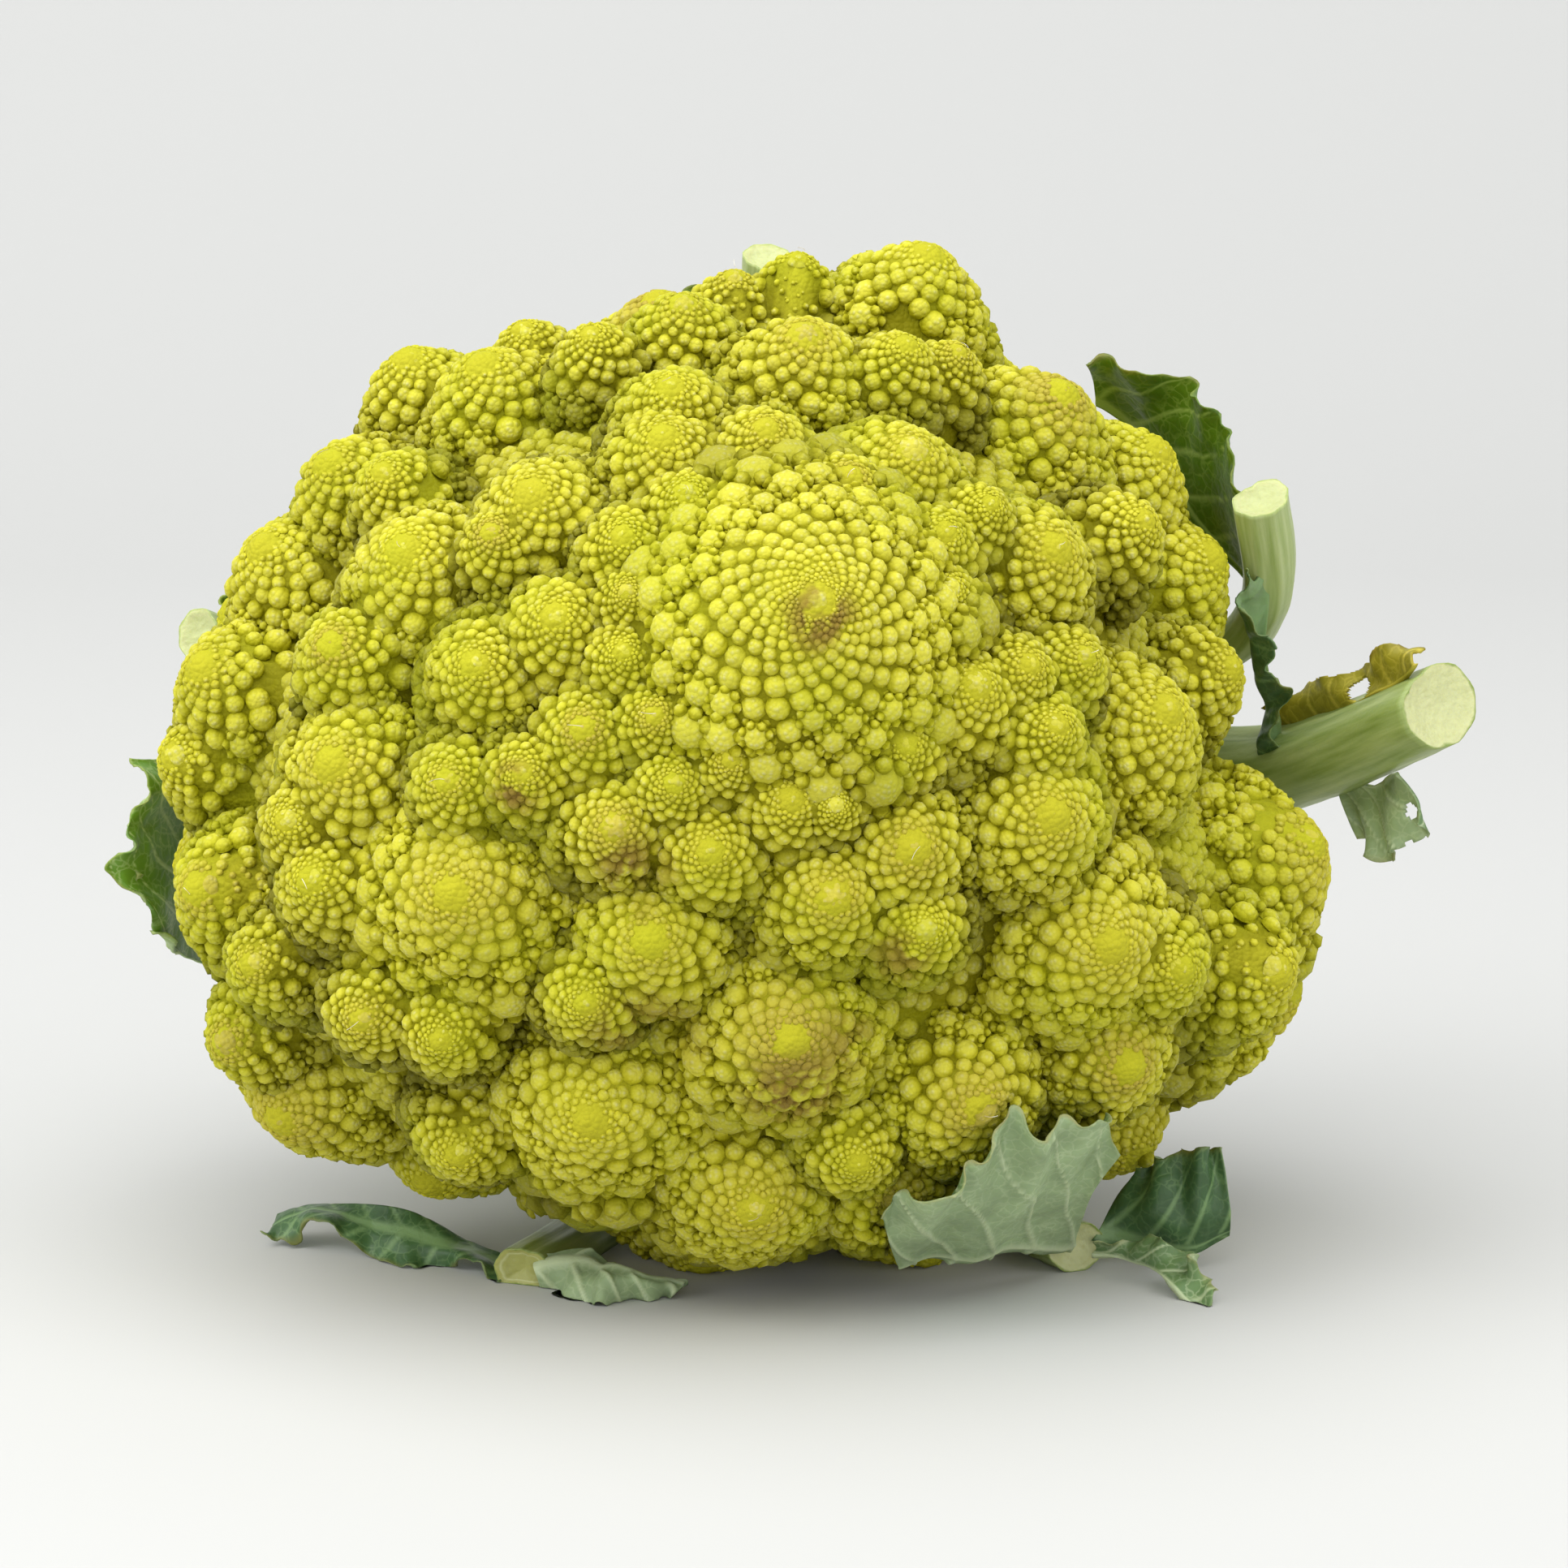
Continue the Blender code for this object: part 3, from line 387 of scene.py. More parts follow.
# Leaf blades: colour, stations along and across in the solid, and rows of places (across, down,
# depth) from one edge to the other
BLADES = {
    "blade_upper_right": ("dark", 10, 5, (
        ((1350, 500, 38), (1400, 540, 38), (1440, 590, 35), (1480, 660, 30), (1560, 745, 25)),
        ((1345, 468, 34), (1412, 492, 33), (1462, 530, 28), (1492, 600, 24), (1558, 695, 20)),
        ((1340, 448, 31), (1408, 455, 28), (1470, 483, 24), (1503, 520, 19), (1552, 640, 14)))),
    "blade_right_wing": ("grey", 10, 4, (
        ((1552, 700, 17), (1556, 770, 20), (1566, 860, 25), (1572, 940, 29)),
        ((1538, 715, 15), (1545, 790, 18), (1552, 870, 23), (1556, 935, 27)),
        ((1532, 700, 13), (1556, 790, 14), (1580, 850, 18), (1584, 935, 24)))),
    "blade_right_upper": ("wilted", 10, 5, (
        ((1600, 925, 28), (1650, 880, 20), (1705, 850, 10), (1740, 818, 2)),
        ((1575, 905, 32), (1622, 855, 24), (1680, 838, 14), (1742, 805, 4)),
        ((1563, 883, 34), (1605, 840, 27), (1680, 815, 16), (1749, 793, 5)))),
    "blade_right_lower": ("grey", 9, 4, (
        ((1650, 940, 24), (1690, 968, 17), (1726, 950, 9)),
        ((1656, 985, 22), (1702, 1008, 14), (1746, 985, 6)),
        ((1672, 1036, 20), (1716, 1058, 12), (1752, 1025, 5)))),
    "blade_top": ("dark", 8, 4, (
        ((800, 470, 56), (850, 460, 57), (935, 450, 59)),
        ((790, 410, 53), (845, 400, 54), (935, 390, 56)),
        ((782, 372, 51), (835, 365, 52), (915, 350, 53)))),
    "blade_left": ("dark", 8, 4, (
        ((330, 830, 26), (345, 780, 27), (340, 730, 28)),
        ((300, 815, 20), (305, 770, 20), (310, 725, 22)),
        ((268, 790, 15), (288, 750, 14), (292, 715, 15)))),
    "blade_lower_left": ("dark", 11, 5, (
        ((262, 1190, 26), (262, 1110, 27), (262, 1040, 28), (255, 965, 27)),
        ((222, 1172, 14), (190, 1100, 8), (196, 1020, 10), (212, 940, 16)),
        ((212, 1160, 9), (150, 1085, 3), (160, 1015, 4), (184, 935, 9)))),
    "blade_front_left": ("grey", 12, 5, (
        ((640, 1548, -12), (560, 1520, -8), (490, 1490, -4), (400, 1480, 2), (345, 1500, 4)),
        ((630, 1560, -16), (556, 1545, -12), (480, 1525, -8), (392, 1498, -2), (335, 1520, 0)),
        ((618, 1575, -20), (560, 1562, -14), (484, 1560, -11), (385, 1512, -4), (326, 1528, -2)))),
    "blade_front_middle": ("grey", 12, 5, (
        ((662, 1556, -20), (722, 1540, -20), (755, 1558, -24), (800, 1576, -26), (850, 1584, -26)),
        ((668, 1572, -22), (706, 1574, -26), (745, 1577, -29), (790, 1582, -30), (834, 1591, -28)),
        ((672, 1590, -22), (690, 1628, -26), (737, 1611, -31), (783, 1629, -27), (822, 1602, -27)))),
    "blade_front_right": ("grey", 15, 6, (
        ((1318, 1536, -15), (1240, 1546, -25), (1170, 1552, -29), (1108, 1558, -31)),
        ((1342, 1468, -32), (1275, 1470, -40), (1180, 1502, -43), (1094, 1524, -41)),
        ((1378, 1425, -38), (1366, 1378, -45), (1318, 1378, -49), (1284, 1398, -51), (1250, 1382, -53),
         (1206, 1420, -54), (1182, 1460, -54), (1120, 1476, -52), (1090, 1498, -47)))),
    "blade_far_right": ("grey", 10, 5, (
        ((1345, 1528, -13), (1420, 1540, -12), (1470, 1545, -14), (1516, 1522, -14)),
        ((1372, 1480, -10), (1420, 1490, -14), (1470, 1500, -16), (1512, 1490, -14)),
        ((1405, 1450, -8), (1430, 1425, -10), (1470, 1412, -12), (1504, 1420, -10)))),
    "blade_floor_right": ("grey", 10, 4, (
        ((1345, 1545, -15), (1412, 1560, -20), (1450, 1590, -28), (1488, 1622, -32)),
        ((1350, 1538, -15), (1428, 1548, -21), (1465, 1575, -27), (1494, 1606, -31)),
        ((1354, 1528, -16), (1440, 1528, -20), (1475, 1556, -26), (1500, 1588, -29)))),
}

# Veins: where the midrib runs (share of the way across), side veins' spacing and slant
USUAL_VEINS = (0.0, 7 * MM, 0.8)
VEINS = {
    "blade_front_right": (0.08, 9 * MM, 0.5),
    "blade_upper_right": (0.10, 7 * MM, 0.9),
    "blade_far_right": (0.15, 6 * MM, 0.7),
    "blade_front_left": (0.35, 6 * MM, 0.9),
    "blade_front_middle": (0.25, 6 * MM, 0.9),
}

# Holes: place as seen from the front and radius in mm.  Torn edges: how far in, in mm
HOLES = {"blade_right_upper": ((1674, 850, 15, 2.3),), "blade_right_lower": ((1735, 1000, 7, 1.4),)}
TORN = {"blade_right_upper": 3.5, "blade_right_lower": 3.0, "blade_right_wing": 2.0, "blade_left": 1.5,
        "blade_lower_left": 1.5, "blade_far_right": 1.5}
# Blades that are fresher or deeper green than their slot says
FRESH_LEAVES = ("blade_lower_left", "blade_left")
DEEP_LEAVES = ("blade_front_left", "blade_far_right", "blade_right_wing")


def spline(points, stations):
    """Evenly numbered points on a smooth curve through the given ones."""
    last = len(points) - 1
    result = []
    for station in range(stations):
        along = station / (stations - 1) * last
        index = min(int(along), last - 1)
        t = along - index
        before = points[max(index - 1, 0)]
        start, end = points[index], points[index + 1]
        after = points[min(index + 2, last)]
        result.append(0.5 * (2 * start + (end - before) * t
                             + (2 * before - 5 * start + 4 * end - after) * t * t
                             + (3 * start - before - 3 * end + after) * t ** 3))
    return result


def add(tree, kind, *values, sockets=None, **settings):
    """A node with its settings, and its inputs in order or by name: values, nodes or sockets."""
    item = tree.nodes.new(kind)
    for name, value in settings.items():
        setattr(item, name, value)
    for key, value in [*enumerate(values), *(sockets or {}).items()]:
        if value is None:
            continue
        if isinstance(value, bpy.types.Node):
            value = next(output for output in value.outputs if output.enabled)
        if isinstance(value, bpy.types.NodeSocket):
            tree.links.new(value, item.inputs[key])
        else:
            item.inputs[key].default_value = value
    return item


# Nodes that rows of arithmetic are made of, and the setting that says what each does
MATH = ("ShaderNodeMath", "operation")
VECTOR = ("ShaderNodeVectorMath", "operation")
CHOICE = ("GeometryNodeSwitch", "input_type")


def work_out(tree, known, rows):
    """Arithmetic: each row names its result, the node and what it does, and what goes in."""
    for name, (kind, setting), what, *inputs in rows:
        values = [known[item] if isinstance(item, str) else item for item in inputs]
        known[name] = add(tree, kind, *values, **{setting: what})


def linear(colour):
    """The linear colour of an sRGB hex value."""
    channels = [int(colour[place:place + 2], 16) / 255 for place in (1, 3, 5)]
    return (*[c / 12.92 if c <= 0.04045 else ((c + 0.055) / 1.055) ** 2.4 for c in channels], 1)


def new_piece(name, verts, faces, finish, attributes=None):
    """A mesh object from points and faces, with a number for each point where asked."""
    mesh = bpy.data.meshes.new(name)
    mesh.from_pydata([tuple(vert) for vert in verts], [], faces)
    for key, numbers in (attributes or {}).items():
        layer = mesh.attributes.new(key, "FLOAT", "POINT")
        layer.data.foreach_set("value", np.asarray(numbers, dtype=np.float32))
    mesh.polygons.foreach_set("use_smooth", [True] * len(mesh.polygons))
    mesh.update()
    mesh.materials.append(finish)
    piece = bpy.data.objects.new(name, mesh)
    bpy.context.scene.collection.objects.link(piece)
    return piece


def place_camera():
    """The camera stands where the photo was taken from."""
    camera = bpy.data.cameras.new("camera")
    camera.sensor_width = SENSOR
    camera.lens = VIEW_DISTANCE / PIXEL / PICTURE_WIDTH * SENSOR
    camera.clip_end = 10
    stand = bpy.data.objects.new("camera", camera)
    stand.location = EYE
    stand.rotation_euler = (math.pi / 2 - VIEW_RISE, 0, 0)
    bpy.context.scene.collection.objects.link(stand)
    bpy.context.scene.camera = stand


def studio():
    """A sheet of card that curves up behind, lit softly from above, both sides and low in front."""
    # matt white card: no gloss, and light enough to throw soft light back under the head
    paper = bpy.data.materials.new("matt white card")
    paper.use_nodes = True
    shader = paper.node_tree.nodes["Principled BSDF"]
    shader.inputs["Base Color"].default_value = linear("#BFBFBD")
    shader.inputs["Roughness"].default_value = 0.9
    profile = [(CARD_FRONT, 0.0), (CURVE_FROM, 0.0)]
    for step in range(1, CURVE_STEPS + 1):
        angle = CURVE_STEP * step
        profile.append((CURVE_FROM + CURVE_RADIUS * math.sin(angle),
                        CURVE_RADIUS * (1 - math.cos(angle))))
    profile.append(CARD_TOP)
    verts = [(across, y, z) for across in (-CARD_HALF, CARD_HALF) for y, z in profile]
    faces = [(index, index + len(profile), index + len(profile) + 1, index + 1)
             for index in range(len(profile) - 1)]
    new_piece("floor", verts, faces, paper)
    for place, width, power in LIGHTS:
        lamp = bpy.data.lights.new("softbox", "AREA")
        lamp.shape = "SQUARE"
        lamp.size = width
        lamp.energy = power
        box = bpy.data.objects.new("softbox", lamp)
        box.location = place
        box.rotation_euler = (LIGHT_AIM - Vector(place)).to_track_quat("-Z", "Y").to_euler()
        bpy.context.scene.collection.objects.link(box)
    world = bpy.data.worlds.new("studio")
    world.use_nodes = True
    sky = world.node_tree.nodes["Background"].inputs
    sky["Color"].default_value = linear("#F4F6F8")
    sky["Strength"].default_value = WORLD_STRENGTH
    bpy.context.scene.world = world
    bpy.context.scene.view_settings.view_transform = "Standard"


class Floret:
    """A cone of buds: its tip and axis in the head's axes, and the shape of its side."""

    def __init__(self, tip, radius, slope=FLORET_SLOPE, pointed=POINTED, spiral=SPIRAL):
        self.tip = tip
        self.radius = radius
        self.straight = slope * pointed
        self.bend = slope * (1 - pointed)
        self.axis = dome_normal(tip).lerp(Vector((0, 0, 1)), LEAN).normalized()
        self.fold, self.crowd, smooth, self.rough = spiral
        self.first = max(LEAST_TIP, min(smooth * radius, MOST_TIP))
        self.smooth = self.first / radius
        self.flank = FLANK * (1 - self.crowd)
        start = self.smooth / (self.flank + self.crowd * self.smooth)
        self.count = round(-self.fold * math.log(start))


def place_florets():
    """The florets that the front view shows, those it hides, and the cone at the tip."""
    florets = [Floret(seen_on_dome(across, down), radius * MM) for across, down, radius in FLORETS]
    rng = random.Random(HIDDEN_SEED)
    for radius in HIDDEN_RADII:
        for number in range(HIDDEN_TRIES):
            down = 1 - (number + 0.5) / HIDDEN_TRIES * (1 - math.cos(HIDDEN_REACH))
            clock = number * TURN
            flat = math.sqrt(1 - down * down)
            direction = Vector((flat * math.cos(clock), flat * math.sin(clock), down))
            size = radius * rng.uniform(*HIDDEN_SIZES)
            tip = direction * dome_reach(direction)
            if math.hypot(tip.x, tip.y) < CONE_RADIUS + HIDDEN_ASIDE * size and tip.z > 0:
                continue
            if tip.z < -BACK + HIDDEN_BACK * size:
                continue
            if (HEAD_TURN @ dome_normal(tip)).dot(VIEW) < TURNED_AWAY:
                continue
            if all((tip - other.tip).length > HIDDEN_APART * (size + other.radius)
                   for other in florets):
                florets.append(Floret(tip, size))
    top = Vector((0, 0, FRONT + CONE_PROUD))
    return florets + [Floret(top, CONE_RADIUS, CONE_SLOPE, CONE_POINTED, CONE_SPIRAL)]


def stalk_route(name, stations):
    """Points along a leaf stalk, and its radius at each."""
    route, radii, _ = STALKS[name]
    points = [from_head(Vector(route[0]) * MM)] + [seen(*place) for place in route[1:]]
    sizes = spline([Vector((radius, 0, 0)) for radius in radii], stations)
    return spline(points, stations), [size.x * MM for size in sizes]


def stalk_rings(name):
    """Rings of a leaf stalk: round below, a channel along its upper side, fine ridges."""
    channel = STALKS[name][2]
    points, sizes = stalk_route(name, STALK_STEPS)
    rings = []
    ahead = (points[1] - points[0]).normalized()
    upper = (Vector((0, 0, 1)) - ahead.z * ahead).normalized()
    for index, point in enumerate(points):
        before, after = points[max(index - 1, 0)], points[min(index + 1, len(points) - 1)]
        ahead = (after - before).normalized()
        upper = (upper - upper.dot(ahead) * ahead).normalized()
        right = ahead.cross(upper)
        ring = []
        for side in range(STALK_SIDES):
            angle = math.tau * side / STALK_SIDES
            hollow = channel * max(0.0, math.sin(angle)) ** 3
            size = sizes[index] * (1 - hollow) + RIDGE * math.cos(RIDGES * angle)
            place = point + size * (right * math.cos(angle) + upper * math.sin(angle) * STALK_HEIGHT)
            place += (place - point) * STALK_UNEVEN[0] * noise.noise(place / STALK_UNEVEN[1])
            place.z = max(place.z, STALK_LIFT)
            ring.append(place)
        rings.append(ring)
    return rings


def stem_rings():
    """Rings of the stem, from the branches under the florets to its cut end."""
    profile = spline([Vector(ring) for ring in STEM_PROFILE], STEM_STEPS)
    rings = []
    for index, (behind, radius, furrow) in enumerate(profile):
        ring = []
        for side in range(STEM_SIDES * STEM_FINER):
            clock = math.tau * side / (STEM_SIDES * STEM_FINER)
            out = Vector((math.cos(clock), math.sin(clock), 0))
            fade = min(max((WHERE_ROUND - behind) / ROUND_OVER, 0), 1)
            wide = 1 + fade * SHAPE_SHARE * (side_reach(clock) / USUAL_REACH - 1)
            size = radius * MM * wide * (1 + furrow * math.cos(STEM_BRANCHES * clock))
            size += STEM_FIBRES * math.cos(BRANCH_FIBRES * STEM_BRANCHES * clock)
            start = STEM_START if index == 0 else 0
            place = Vector((size * math.cos(clock), size * math.sin(clock), -behind * MM - start))
            place += STEM_UNEVEN[0] * noise.noise(place / STEM_UNEVEN[1]) * out
            ring.append(from_head(place))
        rings.append(ring)
    return rings


def tube(name, rings, finish, dish):
    """A tube through rings of points; a rough cut face closes its far end."""
    sides = len(rings[0])
    middles = [sum(ring, Vector()) / sides for ring in rings]
    centre = middles[-1]
    ahead = (centre - middles[-2]).normalized()
    points = [point for ring in rings for point in ring]
    inner = [0.0] * len(points)
    turn = [abs(2 * side / sides - 1) for side in range(sides)] * (len(rings) + len(CUT_RINGS))
    along = [0.0]
    for before, after in zip(middles, middles[1:]):
        along.append(along[-1] + (after - before).length)
    along = [length for length in along for _ in range(sides)] + [along[-1]] * sides * len(CUT_RINGS)
    for share in CUT_RINGS:
        for point in rings[-1]:
            place = point.lerp(centre, share)
            rough = sum(height * noise.noise(place / length) for height, length in CUT_BUMPS)
            depth = dish * math.sin(math.pi / 2 * share) + CUT_ROUGH * min(share * CUT_RIM, 1) * rough
            points.append(place - ahead * depth)
            inner.append(share)
    faces = [tuple(range(sides))]
    for start in range(0, len(points) - sides, sides):
        for side in range(sides):
            after = (side + 1) % sides
            faces.append((start + side, start + side + sides, start + after + sides, start + after))
    faces.append(tuple(reversed(range(len(points) - sides, len(points)))))
    return new_piece(name, points, faces, finish,
                     {"inner": inner, "cut": [float(share > 0) for share in inner],
                      "turn": turn, "along": along})


def flesh(florets, finish, obstacles):
    """The flesh under the buds: the florets' sides joined, with clefts between them."""
    bm = bmesh.new()
    bmesh.ops.create_icosphere(bm, subdivisions=FLESH_FINE, radius=1)
    bm.verts.ensure_lookup_table()
    ways = np.array([vert.co[:] for vert in bm.verts])
    ways /= np.linalg.norm(ways, axis=1)[:, None]
    faces = [[vert.index for vert in face.verts] for face in bm.faces]
    bm.free()
    core = np.array(CORE)
    reach = np.array([FLESH_LEAST * dome_reach(Vector(way)) for way in ways])
    flat = np.ones(len(ways))
    for floret in florets:
        tip, axis = np.array(floret.tip), np.array(floret.axis)
        way = (tip - core) / np.linalg.norm(tip - core)
        near = np.nonzero(ways @ way > FLORET_SPAN)[0]
        # halving the range finds where each direction leaves the floret
        low = reach[near]
        high = np.full(len(near), np.linalg.norm(tip - core) + SEARCH_ROOM)
        for step in range(SEARCH_STEPS):
            middle = low if step == 0 else (low + high) / 2
            offset = core + ways[near] * middle[:, None] - tip
            below = -(offset @ axis)
            share = np.linalg.norm(offset + below[:, None] * axis, axis=1) / floret.radius
            past = np.maximum(share - CLEFT_FROM, 0)
            blunt = np.hypot(share, FLESH_BLUNT * floret.smooth)
            under = below > floret.radius * (floret.straight * blunt + floret.bend * share ** 2
                                             + CLEFT * past ** 2)
            if step == 0:
                high = np.where(under, high, low)
            low, high = np.where(under, middle, low), np.where(under, high, middle)
        rises = low > reach[near]
        out = np.clip((share - floret.smooth) / (floret.rough - floret.smooth), 0, 1)
        flat[near] = np.where(rises, FLAT_BUD + (1 - FLAT_BUD) * out, flat[near])
        reach[near] = np.maximum(reach[near], low)
    back = ways[:, 2] < -BACK_SLOPE
    reach[back] = np.minimum(reach[back], (BACK + CORE.z) / -ways[back, 2])
    # leaf stalks and blades press into it
    turned = ways @ np.array(HEAD_TURN).T
    start = np.array(from_head(CORE))
    reach -= SUNK
    for centre, radius in obstacles:
        offset = np.array(centre) - start
        along = turned @ offset
        aside = (offset @ offset) - along ** 2
        meets = (along > 0) & (aside < radius ** 2)
        reach[meets] = np.minimum(reach[meets], along[meets] - np.sqrt(radius ** 2 - aside[meets]))
    points = start + turned * reach[:, None]
    points[:, 2] = np.maximum(points[:, 2], FLESH_LIFT)
    behind = ways[:, 2] * reach < -BACK - CORE.z + BACK_RIM
    # crown 0 and share 1 make the curd's finish paint the flesh olive away from the tips and darker all
    # over, painted shade between the buds
    return new_piece("curd_flesh", points, faces, finish,
                     {"crown": np.zeros(len(points)), "shade": np.full(len(points), 0.5), "flat": flat,
                      "share": np.ones(len(points)), "back": behind.astype(float)})


def blade_grid(rows, along, across, phase, finer=1):
    """Points of a waved blade, a list of columns from edge to edge; finer ones keep the waves."""
    stations, lanes = (along - 1) * finer + 1, (across - 1) * finer + 1
    lines = [spline([seen(*place) for place in row], stations) for row in rows]
    grid = []
    for number in range(stations):
        station = number / finer
        column = spline([line[number] for line in lines], lanes)
        chord = (column[-1] - column[0]).normalized()
        before, after = max(number - finer, 0), min(number + finer, stations - 1)
        ahead = (lines[1][after] - lines[1][before]).normalized()
        normal = chord.cross(ahead).normalized()
        for index, point in enumerate(column):
            share = index / (lanes - 1)
            edge = share ** 2 * math.sin(WAVE_STEP * station + phase)
            body = WAVE_BODY * math.sin(4 * share + station)
            column[index] = point + normal * WAVE * (edge + body)
        grid.append(column)
    return grid


def uneven(grid, length):
    """A number from -1 to 1 at each point of a grid, that changes over this length."""
    return np.array([[noise.noise(Vector(point) / length) for point in row] for row in grid])


def unit(vectors):
    """A grid of vectors, each made one long."""
    return vectors / np.maximum(np.linalg.norm(vectors, axis=2), 1e-12)[..., None]


def leaf_blade(name, finish):
    """A fine blade on the same waves: ruffled and torn at its edge, veins raised underneath."""
    number = list(BLADES).index(name)
    _, along, across, rows = BLADES[name]
    rib, spacing, slant = VEINS.get(name, USUAL_VEINS)
    grid = np.array([[tuple(point) for point in column]
                     for column in blade_grid(rows, along, across, number, FINER)])
    stations, lanes = grid.shape[:2]
    steps = np.linalg.norm(np.diff(grid, axis=0), axis=2).mean(axis=1)
    far = np.concatenate(([0], np.cumsum(steps)))[:, None] * np.ones((1, lanes))
    widths = np.linalg.norm(np.diff(grid, axis=1), axis=2).sum(axis=1)[:, None]
    share = np.linspace(0, 1, lanes)[None, :] * np.ones((stations, 1))
    aside = (share - rib) * widths  # distance from the midrib

    # veins: the midrib, and side veins that leave it at a slant and thin out
    wander = uneven(grid, WANDER)
    main_vein = np.exp(-(aside / (MAIN_VEIN * (1.15 - far / far.max()))) ** 2)
    lane = (far - slant * np.abs(aside) + VEIN_STRAY * wander) / spacing
    off = np.abs(lane - np.round(lane)) * spacing
    thin = SIDE_VEIN * np.clip(1.1 - np.abs(aside) / widths.max(), 0.3, 1)
    side_vein = SIDE_SHARE * np.exp(-(off / thin) ** 2) * np.clip(np.abs(aside) / MM, 0, 1)
    vein = np.maximum(main_vein, side_vein)

    # both sides: ruffled near the edge, puffed between the veins, hollow over them, thin at the rim
    across_way = np.gradient(grid, axis=1)
    normal = unit(np.cross(np.gradient(grid, axis=0), across_way))
    far_in = (1 - share) * widths
    near_edge = np.clip(1 - far_in / EDGE, 0, 1) ** 2
    ruffle = RUFFLE * near_edge * np.sin(far / RUFFLE_LENGTH * math.tau + 2 * wander + number)
    rise = ruffle + BLISTER[0] * uneven(grid, BLISTER[1]) - VEIN_HOLLOW * VEIN_RISE * vein
    scallop = SCALLOP * near_edge * np.sin(far / SCALLOP_LENGTH + 4 * wander)
    grid = grid + normal * rise[..., None] + unit(across_way) * scallop[..., None]
    half = LEAF / 2 * (1 - 0.5 * near_edge)
    above = grid + normal * half[..., None]
    below = grid - normal * (half + VEIN_RISE * vein)[..., None]

    # cells that are torn away: holes, and bites from the outer edge
    kept = np.ones((stations - 1, lanes - 1), dtype=bool)
    for place in HOLES.get(name, ()):
        gap = np.linalg.norm(grid[:-1, :-1] - np.array(seen(*place[:3])), axis=2)
        kept &= gap > (place[3] + HOLE_UNEVEN * wander[:-1, :-1]) * MM
    if name in TORN:
        kept &= (far_in > TORN[name] * MM * (wander + 0.2))[:-1, :-1]
    kept[0, :] = kept[:, 0] = True

    count = stations * lanes
    points = np.concatenate((above.reshape(-1, 3), below.reshape(-1, 3)))
    points[:, 2] = np.maximum(points[:, 2], LEAF_LIFT)
    faces, edges = [], {}
    for station, cell in zip(*np.nonzero(kept)):
        a = int(station) * lanes + int(cell)
        loop = (a, a + lanes, a + lanes + 1, a + 1)
        faces.append(loop)
        faces.append(tuple(count + corner for corner in reversed(loop)))
        for start, end in zip(loop, loop[1:] + loop[:1]):
            edges[start, end] = True
    for start, end in edges:
        if (end, start) not in edges:
            faces.append((end, start, start + count, end + count))
    return new_piece(name + "_leaf", points, faces, finish, {
        "vein": np.tile(vein.ravel(), 2), "edge": np.tile(near_edge.ravel(), 2),
        "under": np.repeat((0.0, 1.0), count)})


def leaf_obstacles():
    """Balls along the stalks and over the blades, that the florets keep clear of."""
    obstacles = []
    for name in STALKS:
        obstacles += [(point, size + BESIDE_STALK)
                      for point, size in zip(*stalk_route(name, STALK_BALLS))]
    for number, (_, along, across, rows) in enumerate(BLADES.values()):
        for column in blade_grid(rows, along * 2, across * 2, number):
            obstacles += [(point, BESIDE_BLADE) for point in column]
    return obstacles


